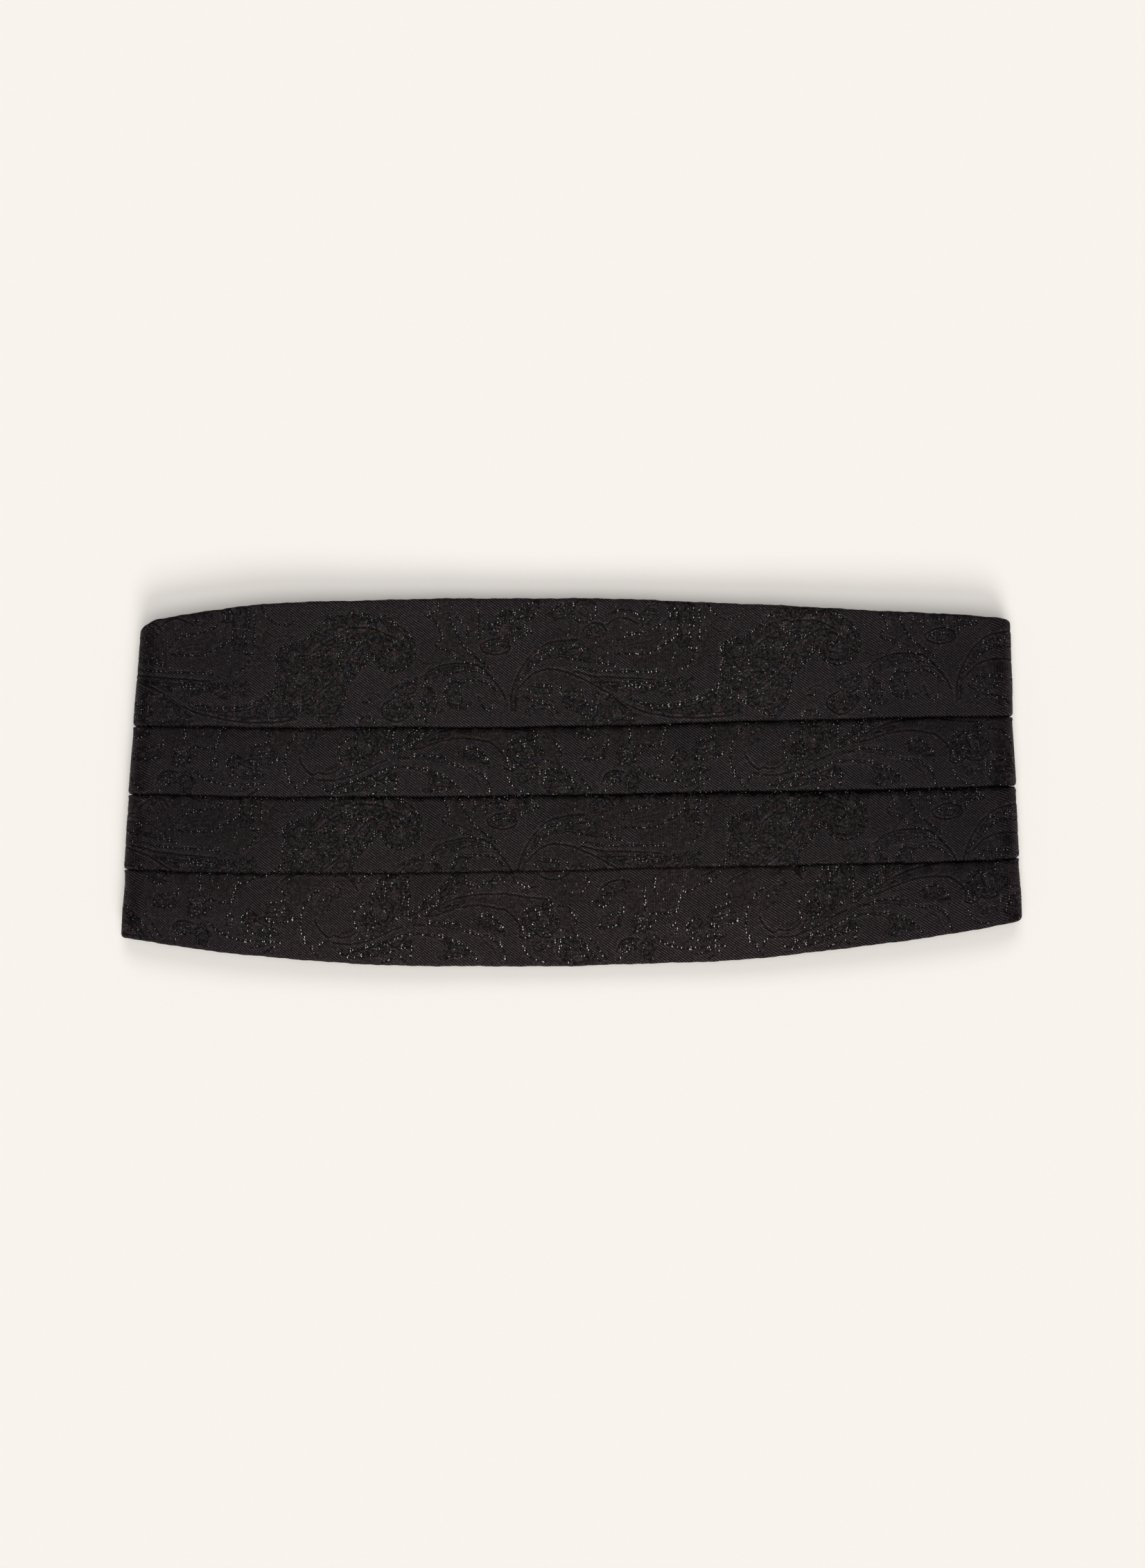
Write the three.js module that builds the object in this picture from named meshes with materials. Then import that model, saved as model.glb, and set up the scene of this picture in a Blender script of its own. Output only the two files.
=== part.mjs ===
// A pleated cummerbund lying on its back, fastened in a loop: its tapered ends fold under the
// front, and two straps and a clasp join them behind it.
// Millimetres. +X runs along the band, +Y is towards its upper edge, and +Z is up from the surface.
import * as THREE from "three";

// Cloth of the pleated front
const clothThickness = 1.0;
const layerGap = 0.35;
const frontHeight = 127;
const frontLength = 490;
const pleatDepth = 12;
const hemDepth = 9;
const rampStart = 1; // a panel starts to climb this far below the pleat that covers its top

// How the front lies
const foldInnerRadius = 4.3;
const foldLine = { left: 146.2, right: 147.0 }; // from the middle to where each fold starts
const foldSlant = { left: 0.0606, right: 0.0441 }; // each fold leans in towards the upper edge
const frontSag = 3.8;

// Straps and clasp
const strapWidth = 26;
const strapThickness = 1.5;
const strapOverlap = 18;
const strapDrop = 14;
const strapTurnback = 12;
const seatGap = 0.3;
const barWidth = 3;
const claspThickness = 2;
const claspWindow = 5;
const claspRail = 3.5;
const claspSideGap = 1;
const claspCorner = 2.5;

// Facets
const frontSteps = 20;
const foldSteps = 9;
const underSteps = 5;
const turnSteps = 3;
const strapSteps = 10;
const bendSteps = 6;

const layerPitch = clothThickness + layerGap;
const stackThickness = 3 * clothThickness + 2 * layerGap;
const halfLength = frontLength / 2;
const halfHeight = frontHeight / 2;
const underFace = stackThickness;
const endFace = underFace + 2 * foldInnerRadius;

// The flat outline and its three pleat folds, read along the band. at is a share of half the
// front's length, left of the middle where it is negative, and the rest are shares of half its
// height, above the middle line where they are positive.
const outline = [
  { at: -1.0, top: 0.362, pleatOne: 0.137, pleatTwo: -0.019, pleatThree: -0.192, bottom: -0.331 },
  { at: -0.816, top: 0.603, pleatOne: 0.219, pleatTwo: -0.049, pleatThree: -0.345, bottom: -0.583 },
  { at: -0.625, top: 0.846, pleatOne: 0.315, pleatTwo: -0.058, pleatThree: -0.466, bottom: -0.828 },
  { at: -0.597, top: 0.887, pleatOne: 0.316, pleatTwo: -0.058, pleatThree: -0.472, bottom: -0.855 },
  { at: -0.437, top: 0.967, pleatOne: 0.306, pleatTwo: -0.071, pleatThree: -0.487, bottom: -0.942 },
  { at: -0.245, top: 0.992, pleatOne: 0.309, pleatTwo: -0.07, pleatThree: -0.487, bottom: -0.994 },
  { at: -0.082, top: 1.0, pleatOne: 0.31, pleatTwo: -0.065, pleatThree: -0.479, bottom: -1.0 },
  { at: 0.082, top: 0.994, pleatOne: 0.323, pleatTwo: -0.053, pleatThree: -0.463, bottom: -0.989 },
  { at: 0.253, top: 0.967, pleatOne: 0.342, pleatTwo: -0.04, pleatThree: -0.449, bottom: -0.957 },
  { at: 0.437, top: 0.932, pleatOne: 0.358, pleatTwo: -0.032, pleatThree: -0.433, bottom: -0.872 },
  { at: 0.6, top: 0.895, pleatOne: 0.37, pleatTwo: -0.011, pleatThree: -0.414, bottom: -0.773 },
  { at: 0.628, top: 0.876, pleatOne: 0.369, pleatTwo: -0.01, pleatThree: -0.403, bottom: -0.729 },
  { at: 0.816, top: 0.646, pleatOne: 0.285, pleatTwo: 0.022, pleatThree: -0.257, bottom: -0.504 },
  { at: 1.0, top: 0.402, pleatOne: 0.184, pleatTwo: 0.026, pleatThree: -0.142, bottom: -0.291 },
];

// One column of the outline at a share of the half length, on a smooth curve through the rows.
function outlineAt(column, at) {
  const last = outline.length - 1;
  let i = outline.findIndex((row) => row.at > at) - 1;
  if (i < 0) i = at <= outline[0].at ? 0 : last - 1;
  const rise = (a, b) => (outline[b][column] - outline[a][column]) / (outline[b].at - outline[a].at);
  const width = outline[i + 1].at - outline[i].at;
  const startSlope = rise(Math.max(i - 1, 0), i + 1);
  const endSlope = rise(i, Math.min(i + 2, last));
  const t = THREE.MathUtils.clamp((at - outline[i].at) / width, 0, 1);
  const value =
    outline[i][column] * (2 * t ** 3 - 3 * t ** 2 + 1) +
    outline[i + 1][column] * (3 * t ** 2 - 2 * t ** 3) +
    width * startSlope * (t ** 3 - 2 * t ** 2 + t) +
    width * endSlope * (t ** 3 - t ** 2);
  return value * halfHeight;
}

// Points of a half turn of the cloth between two layers, from angle "from" to "from" plus a half
// turn, in the direction given (1 counter-clockwise, -1 clockwise) in the plane of height and depth.
function halfTurn(height, depth, from, direction) {
  const points = [];
  for (let i = 0; i <= turnSteps; i++) {
    const angle = from + (direction * Math.PI * i) / turnSteps;
    points.push(
      new THREE.Vector2(height + (layerPitch / 2) * Math.cos(angle), depth + (layerPitch / 2) * Math.sin(angle)),
    );
  }
  return points;
}

// The middle line of the pleated cloth across the band: x is the height and y the depth, counted
// outwards from the inner face. It runs from the upper hem, down each panel and back up behind it
// at each pleat, to the lower hem.
function pleatSection(at) {
  const top = outlineAt("top", at);
  const bottom = outlineAt("bottom", at);
  const pleats = ["pleatOne", "pleatTwo", "pleatThree"].map((column) => outlineAt(column, at));
  const shrink = (top - bottom) / frontHeight;
  const depth = pleatDepth * shrink;
  const hem = hemDepth * shrink;
  const inner = clothThickness / 2;
  const middle = inner + layerPitch;
  const outer = middle + layerPitch;
  const turn = layerPitch / 2;
  const line = [new THREE.Vector2(top - hem, inner)];
  line.push(...halfTurn(top - turn, inner + turn, -Math.PI / 2, 1));
  line.push(new THREE.Vector2(top - hem - rampStart, middle));
  for (const pleat of pleats) {
    line.push(new THREE.Vector2(pleat + depth + turn, outer));
    line.push(...halfTurn(pleat + turn, middle + turn, Math.PI / 2, 1));
    line.push(...halfTurn(pleat + depth - turn, inner + turn, Math.PI / 2, -1));
    line.push(new THREE.Vector2(pleat - rampStart, inner));
  }
  line.push(new THREE.Vector2(bottom + hem + rampStart, middle));
  line.push(...halfTurn(bottom + turn, inner + turn, Math.PI / 2, 1));
  line.push(new THREE.Vector2(bottom + hem, inner));
  return line;
}

// Both faces of a cloth beside its middle line: one ring of points, out along one face and back
// along the other.
function clothRing(line, thickness) {
  const half = thickness / 2;
  const faces = line.map((point, i) => {
    const before = line[Math.max(i - 1, 0)];
    const after = line[Math.min(i + 1, line.length - 1)];
    const inward = point.clone().sub(before).normalize();
    const onward = after.clone().sub(point).normalize();
    const along = inward.add(onward).normalize();
    const normal = new THREE.Vector2(-along.y, along.x).multiplyScalar(half);
    return [point.clone().add(normal), point.clone().sub(normal)];
  });
  return [...faces.map((pair) => pair[0]), ...faces.map((pair) => pair[1]).reverse()];
}

// Where a point of the band lies once its ends are folded under. along and height are its place on
// the flat band, and depth is how far outwards it is from the inner face.
function lay(along, height, depth) {
  const side = along < 0 ? "left" : "right";
  const mirror = along < 0 ? -1 : 1;
  const lean = Math.atan(foldSlant[side]);
  const out = mirror * along - foldLine[side];
  const past = out * Math.cos(lean) + height * Math.sin(lean);
  const line = -out * Math.sin(lean) + height * Math.cos(lean);
  const halfTurnLength = Math.PI * foldInnerRadius;
  let reach = past;
  let up;
  if (past <= 0) {
    const share = THREE.MathUtils.clamp(1 + past / foldLine[side], 0, 1);
    up = endFace - (frontSag * (1 + Math.cos(Math.PI * share))) / 2 + depth;
  } else if (past < halfTurnLength) {
    const angle = past / foldInnerRadius;
    reach = (foldInnerRadius + depth) * Math.sin(angle);
    up = underFace + foldInnerRadius + (foldInnerRadius + depth) * Math.cos(angle);
  } else {
    reach = halfTurnLength - past;
    up = underFace - depth;
  }
  return new THREE.Vector3(
    mirror * (foldLine[side] + reach * Math.cos(lean) - line * Math.sin(lean)),
    reach * Math.sin(lean) + line * Math.cos(lean),
    up,
  );
}

// The places along the band where a section stands: closer together round the two folds.
function stations() {
  const turned = Math.PI * foldInnerRadius;
  const spread = (from, to, steps) =>
    Array.from({ length: steps }, (_, i) => from + ((to - from) * i) / steps);
  return [
    ...spread(-halfLength, -foldLine.left - turned, underSteps),
    ...spread(-foldLine.left - turned, -foldLine.left, foldSteps),
    ...spread(-foldLine.left, foldLine.right, frontSteps),
    ...spread(foldLine.right, foldLine.right + turned, foldSteps),
    ...spread(foldLine.right + turned, halfLength, underSteps),
    halfLength,
  ];
}

// A closed geometry through rings of as many points each. The end rings are capped by joining each
// point with the one across the cloth.
function loftCloth(rings) {
  const count = rings[0].length;
  const positions = rings.flat().flatMap((p) => [p.x, p.y, p.z]);
  const faces = [];
  const quad = (a, b, c, d) => faces.push(a, b, c, a, c, d);
  for (let r = 0; r + 1 < rings.length; r++) {
    for (let i = 0; i < count; i++) {
      const next = (i + 1) % count;
      quad(r * count + i, (r + 1) * count + i, (r + 1) * count + next, r * count + next);
    }
  }
  const lastRing = (rings.length - 1) * count;
  for (let i = 0; i + 1 < count / 2; i++) {
    const across = count - 1 - i;
    quad(i, i + 1, across - 1, across);
    quad(lastRing + across, lastRing + across - 1, lastRing + i + 1, lastRing + i);
  }
  const geometry = new THREE.BufferGeometry();
  geometry.setAttribute("position", new THREE.Float32BufferAttribute(positions, 3));
  geometry.setIndex(faces);
  return geometry;
}

function pleatedFrontGeometry() {
  const rings = stations().map((along) => {
    const side = along < 0 ? "left" : "right";
    const fanned = Math.min(Math.abs(along) / foldLine[side], 1) * foldSlant[side] * Math.sign(along);
    const ring = clothRing(pleatSection(along / halfLength), clothThickness);
    return ring.map((p) => lay(along - fanned * p.x, p.x, p.y));
  });
  return loftCloth(rings);
}

// The line that the straps follow behind the front, from the inner end of one to that of the other.
function strapLine() {
  const ends = [-1, 1].map((mirror) => {
    const at = mirror * (1 - strapOverlap / halfLength);
    const middle = (outlineAt("top", at) + outlineAt("bottom", at)) / 2;
    const start = lay(at * halfLength, middle, 0);
    const ahead = lay(mirror * halfLength, middle, 0);
    return { start, ahead };
  });
  const flat = (p) => new THREE.Vector2(p.x, p.y);
  const reach = flat(ends[0].start).distanceTo(flat(ends[1].start)) / 3;
  const handle = ({ start, ahead }) =>
    flat(start).add(flat(ahead).sub(flat(start)).setLength(reach));
  return new THREE.CubicBezierCurve(
    flat(ends[0].start),
    handle(ends[0]),
    handle(ends[1]),
    flat(ends[1].start),
  );
}

const backLine = strapLine();
const backLength = backLine.getLength();
const claspLength = 3 * barWidth + 2 * claspWindow;
const barUp = strapThickness + seatGap + claspThickness / 2;
const barPlace = (backLength - claspLength + barWidth) / 2; // along a strap to the middle of its bar

// Points of a straight stretch, close enough to follow a bend, without its last point.
function stretch(fromX, fromY, toX, toY) {
  return Array.from({ length: strapSteps }, (_, i) => {
    const t = i / strapSteps;
    return new THREE.Vector2(fromX + (toX - fromX) * t, fromY + (toY - fromY) * t);
  });
}

// The middle line of a strap seen from its edge: sewn flat on the inside of the front's end, down
// to the surface, and round a bar of the clasp, where it turns back and is sewn down on itself.
function strapSide() {
  const half = strapThickness / 2;
  const sewn = underFace + seatGap + half;
  const dropStart = strapOverlap + seatGap;
  const dropEnd = dropStart + strapDrop;
  const bendPlace = barPlace + barWidth / 2;
  const bendRadius = barUp - half;
  const backUp = strapThickness + seatGap + half;
  const line = [
    ...stretch(0, sewn, dropStart, sewn),
    ...stretch(dropStart, sewn, dropEnd, half),
    ...stretch(dropEnd, half, bendPlace, half),
  ];
  for (let i = 0; i <= bendSteps; i++) {
    const angle = Math.PI * (i / bendSteps - 0.5);
    const x = bendPlace + bendRadius * Math.cos(angle);
    line.push(new THREE.Vector2(x, barUp + bendRadius * Math.sin(angle)));
  }
  line.push(new THREE.Vector2(barPlace - barWidth / 2, barUp + bendRadius));
  line.push(new THREE.Vector2(barPlace - strapTurnback / 2, backUp));
  line.push(new THREE.Vector2(barPlace - strapTurnback, backUp));
  return line;
}

// A strap on the line behind the front. It is made from the left end of that line, or from its
// right end where it is mirrored.
function strapGeometry(mirrored) {
  const side = clothRing(strapSide(), strapThickness);
  const edge = (across) =>
    side.map((p) => {
      const share = THREE.MathUtils.clamp(p.x / backLength, 0, 1);
      const at = mirrored ? 1 - share : share;
      const place = backLine.getPointAt(at);
      const heading = backLine.getTangentAt(at);
      return new THREE.Vector3(place.x - heading.y * across, place.y + heading.x * across, p.y);
    });
  const across = mirrored ? -strapWidth / 2 : strapWidth / 2;
  return loftCloth([edge(across), edge(-across)]);
}

// A rectangle with round corners about a centre, as a shape or as a hole.
function roundedRectangle(kind, x, y, width, height, corner) {
  const path = new kind();
  const right = x + width / 2;
  const up = y + height / 2;
  path.moveTo(right, y - height / 2 + corner);
  path.lineTo(right, up - corner);
  path.absarc(right - corner, up - corner, corner, 0, Math.PI / 2);
  path.absarc(x - width / 2 + corner, up - corner, corner, Math.PI / 2, Math.PI);
  path.absarc(x - width / 2 + corner, y - height / 2 + corner, corner, Math.PI, 1.5 * Math.PI);
  path.absarc(right - corner, y - height / 2 + corner, corner, 1.5 * Math.PI, 2 * Math.PI);
  return path;
}

// The clasp: a flat frame of two rails and three bars, whose outer bars the straps go round.
function claspGeometry() {
  const windowHeight = strapWidth + 2 * claspSideGap;
  const height = windowHeight + 2 * claspRail;
  const frame = roundedRectangle(THREE.Shape, 0, 0, claspLength, height, claspCorner);
  const windowPlace = (barWidth + claspWindow) / 2;
  for (const x of [-windowPlace, windowPlace]) {
    frame.holes.push(roundedRectangle(THREE.Path, x, 0, claspWindow, windowHeight, seatGap));
  }
  return new THREE.ExtrudeGeometry(frame, {
    depth: claspThickness,
    bevelEnabled: false,
    curveSegments: bendSteps,
  });
}

const cloth = new THREE.MeshStandardMaterial({ color: 0x211f20, roughness: 0.7, metalness: 0 });
const webbing = new THREE.MeshStandardMaterial({ color: 0x161616, roughness: 0.85, metalness: 0 });
const metal = new THREE.MeshStandardMaterial({ color: 0x2c2c2e, roughness: 0.4, metalness: 0.9 });

function named(name, geometry, material) {
  const mesh = new THREE.Mesh(geometry, material);
  mesh.name = name;
  return mesh;
}

const cummerbund = new THREE.Group();
cummerbund.add(named("pleated_front", pleatedFrontGeometry(), cloth));
cummerbund.add(named("strap_left", strapGeometry(false), webbing));
cummerbund.add(named("strap_right", strapGeometry(true), webbing));

const clasp = named("clasp", claspGeometry(), metal);
const claspPlace = backLine.getPointAt(0.5);
const claspHeading = backLine.getTangentAt(0.5);
clasp.position.set(claspPlace.x, claspPlace.y, barUp - claspThickness / 2);
clasp.rotation.z = Math.atan2(claspHeading.y, claspHeading.x);
cummerbund.add(clasp);

// The origin is under the middle of the whole, on the surface.
cummerbund.updateMatrixWorld(true);
const bounds = new THREE.Box3().setFromObject(cummerbund, true);
const middle = bounds.getCenter(new THREE.Vector3());
cummerbund.position.set(-middle.x, -middle.y, -bounds.min.z);

export default cummerbund;
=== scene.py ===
import math

import bpy
import numpy as np
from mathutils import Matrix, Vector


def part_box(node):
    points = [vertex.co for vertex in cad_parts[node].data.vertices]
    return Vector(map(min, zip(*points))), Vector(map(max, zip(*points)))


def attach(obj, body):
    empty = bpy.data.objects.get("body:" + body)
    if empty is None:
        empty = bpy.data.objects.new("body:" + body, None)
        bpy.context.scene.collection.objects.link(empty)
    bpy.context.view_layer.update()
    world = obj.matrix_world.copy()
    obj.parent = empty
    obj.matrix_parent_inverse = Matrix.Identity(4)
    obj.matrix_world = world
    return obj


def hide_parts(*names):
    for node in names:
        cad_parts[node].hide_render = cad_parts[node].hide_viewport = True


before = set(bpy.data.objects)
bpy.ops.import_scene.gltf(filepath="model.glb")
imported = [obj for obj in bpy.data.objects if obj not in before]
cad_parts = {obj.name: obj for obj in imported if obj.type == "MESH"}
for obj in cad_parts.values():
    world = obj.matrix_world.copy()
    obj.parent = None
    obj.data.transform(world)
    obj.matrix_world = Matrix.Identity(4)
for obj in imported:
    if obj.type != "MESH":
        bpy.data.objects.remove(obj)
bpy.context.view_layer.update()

# Sizes of the cloth, in millimetres, as the frame has them
MM = 0.001
CLOTH = 1.0
LAYER_PITCH = 1.35
PLEAT_DEPTH = 12.0
HEM_DEPTH = 9.0
FRONT_HEIGHT = 127.0
FRONT_LENGTH = 490.0
FOLD_INNER_RADIUS = 4.3
FOLD_LINE = (146.2, 147.0)
FOLD_SLANT = (0.0606, 0.0441)
FRONT_SAG = 3.8

INNER = CLOTH / 2
MIDDLE = INNER + LAYER_PITCH
OUTER = MIDDLE + LAYER_PITCH
TURN = LAYER_PITCH / 2
STACK = OUTER + CLOTH / 2
END_FACE = STACK + 2 * FOLD_INNER_RADIUS

# The flat outline and its pleat folds, as shares of half the length and half the height
OUTLINE_COLUMNS = ("at", "top", "pleat_one", "pleat_two", "pleat_three", "bottom")
OUTLINE = np.array([
    (-1.0, 0.362, 0.137, -0.019, -0.192, -0.331),
    (-0.816, 0.603, 0.219, -0.049, -0.345, -0.583),
    (-0.625, 0.846, 0.315, -0.058, -0.466, -0.828),
    (-0.597, 0.887, 0.316, -0.058, -0.472, -0.855),
    (-0.437, 0.967, 0.306, -0.071, -0.487, -0.942),
    (-0.245, 0.992, 0.309, -0.07, -0.487, -0.994),
    (-0.082, 1.0, 0.31, -0.065, -0.479, -1.0),
    (0.082, 0.994, 0.323, -0.053, -0.463, -0.989),
    (0.253, 0.967, 0.342, -0.04, -0.449, -0.957),
    (0.437, 0.932, 0.358, -0.032, -0.433, -0.872),
    (0.6, 0.895, 0.37, -0.011, -0.414, -0.773),
    (0.628, 0.876, 0.369, -0.01, -0.403, -0.729),
    (0.816, 0.646, 0.285, 0.022, -0.257, -0.504),
    (1.0, 0.402, 0.184, 0.026, -0.142, -0.291),
])

# The photograph: its size, the object's middle in it, and what a pixel measures on the cloth
PHOTO_SIZE = (1652, 2262)
OBJECT_PIXEL = (825.0, 1128.5)
PIXEL = 0.2403


def outline_at(column, along):
    """One column of the outline in millimetres, on a smooth curve through its rows."""
    at = along / (FRONT_LENGTH / 2)
    x = OUTLINE[:, 0]
    y = OUTLINE[:, OUTLINE_COLUMNS.index(column)]
    i = np.clip(np.searchsorted(x, at, side="right") - 1, 0, len(x) - 2)
    before = np.maximum(i - 1, 0)
    after = np.minimum(i + 2, len(x) - 1)
    width = x[i + 1] - x[i]
    start = (y[i + 1] - y[before]) / (x[i + 1] - x[before])
    end = (y[after] - y[i]) / (x[after] - x[i])
    t = np.clip((at - x[i]) / width, 0, 1)
    value = (
        y[i] * (2 * t**3 - 3 * t**2 + 1)
        + y[i + 1] * (3 * t**2 - 2 * t**3)
        + width * start * (t**3 - 2 * t**2 + t)
        + width * end * (t**3 - t**2)
    )
    return value * FRONT_HEIGHT / 2


def lay(along, height, depth, fill=0.0):
    """Where a point of the flat band lies once the ends are folded under, in millimetres. The fill
    is how much further out it lies round the fold."""
    left = along < 0
    mirror = np.where(left, -1.0, 1.0)
    fold = np.where(left, FOLD_LINE[0], FOLD_LINE[1])
    lean = np.arctan(np.where(left, FOLD_SLANT[0], FOLD_SLANT[1]))
    out = mirror * along - fold
    past = out * np.cos(lean) + height * np.sin(lean)
    across = -out * np.sin(lean) + height * np.cos(lean)
    turned = math.pi * FOLD_INNER_RADIUS
    share = np.clip(1 + past / fold, 0, 1)
    angle = np.clip(past, 0, turned) / FOLD_INNER_RADIUS
    radius = FOLD_INNER_RADIUS + depth
    front = past <= 0
    under = past >= turned
    reach = np.where(front, past, np.where(under, turned - past, (radius + fill) * np.sin(angle)))
    up_front = END_FACE - FRONT_SAG * (1 + np.cos(math.pi * share)) / 2 + depth
    up_fold = STACK + FOLD_INNER_RADIUS + radius * np.cos(angle)
    up = np.where(front, up_front, np.where(under, STACK - depth, up_fold))
    x = mirror * (fold + reach * np.cos(lean) - across * np.sin(lean))
    y = reach * np.sin(lean) + across * np.cos(lean)
    return np.stack([x, y, up], axis=-1)


def smooth(low, high, value):
    t = np.clip((value - low) / (high - low), 0, 1)
    return t * t * (3 - 2 * t)


def sway(value, waves):
    """A slow wave made of a few sines, each (length in millimetres, size, phase)."""
    return sum(size * np.sin(2 * math.pi * value / length + phase) for length, size, phase in waves)

# The woven pattern, charted on the cloth. It repeats along the band every TILE
# millimetres. A place is (millimetres along the repeat, millimetres above the strip's lower edge).
# A trail is an outline: beaded has silver stitches beside a broken dark line, cord is a deep wide
# groove, and crease is a fine one.
TILE = 154.3

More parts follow.
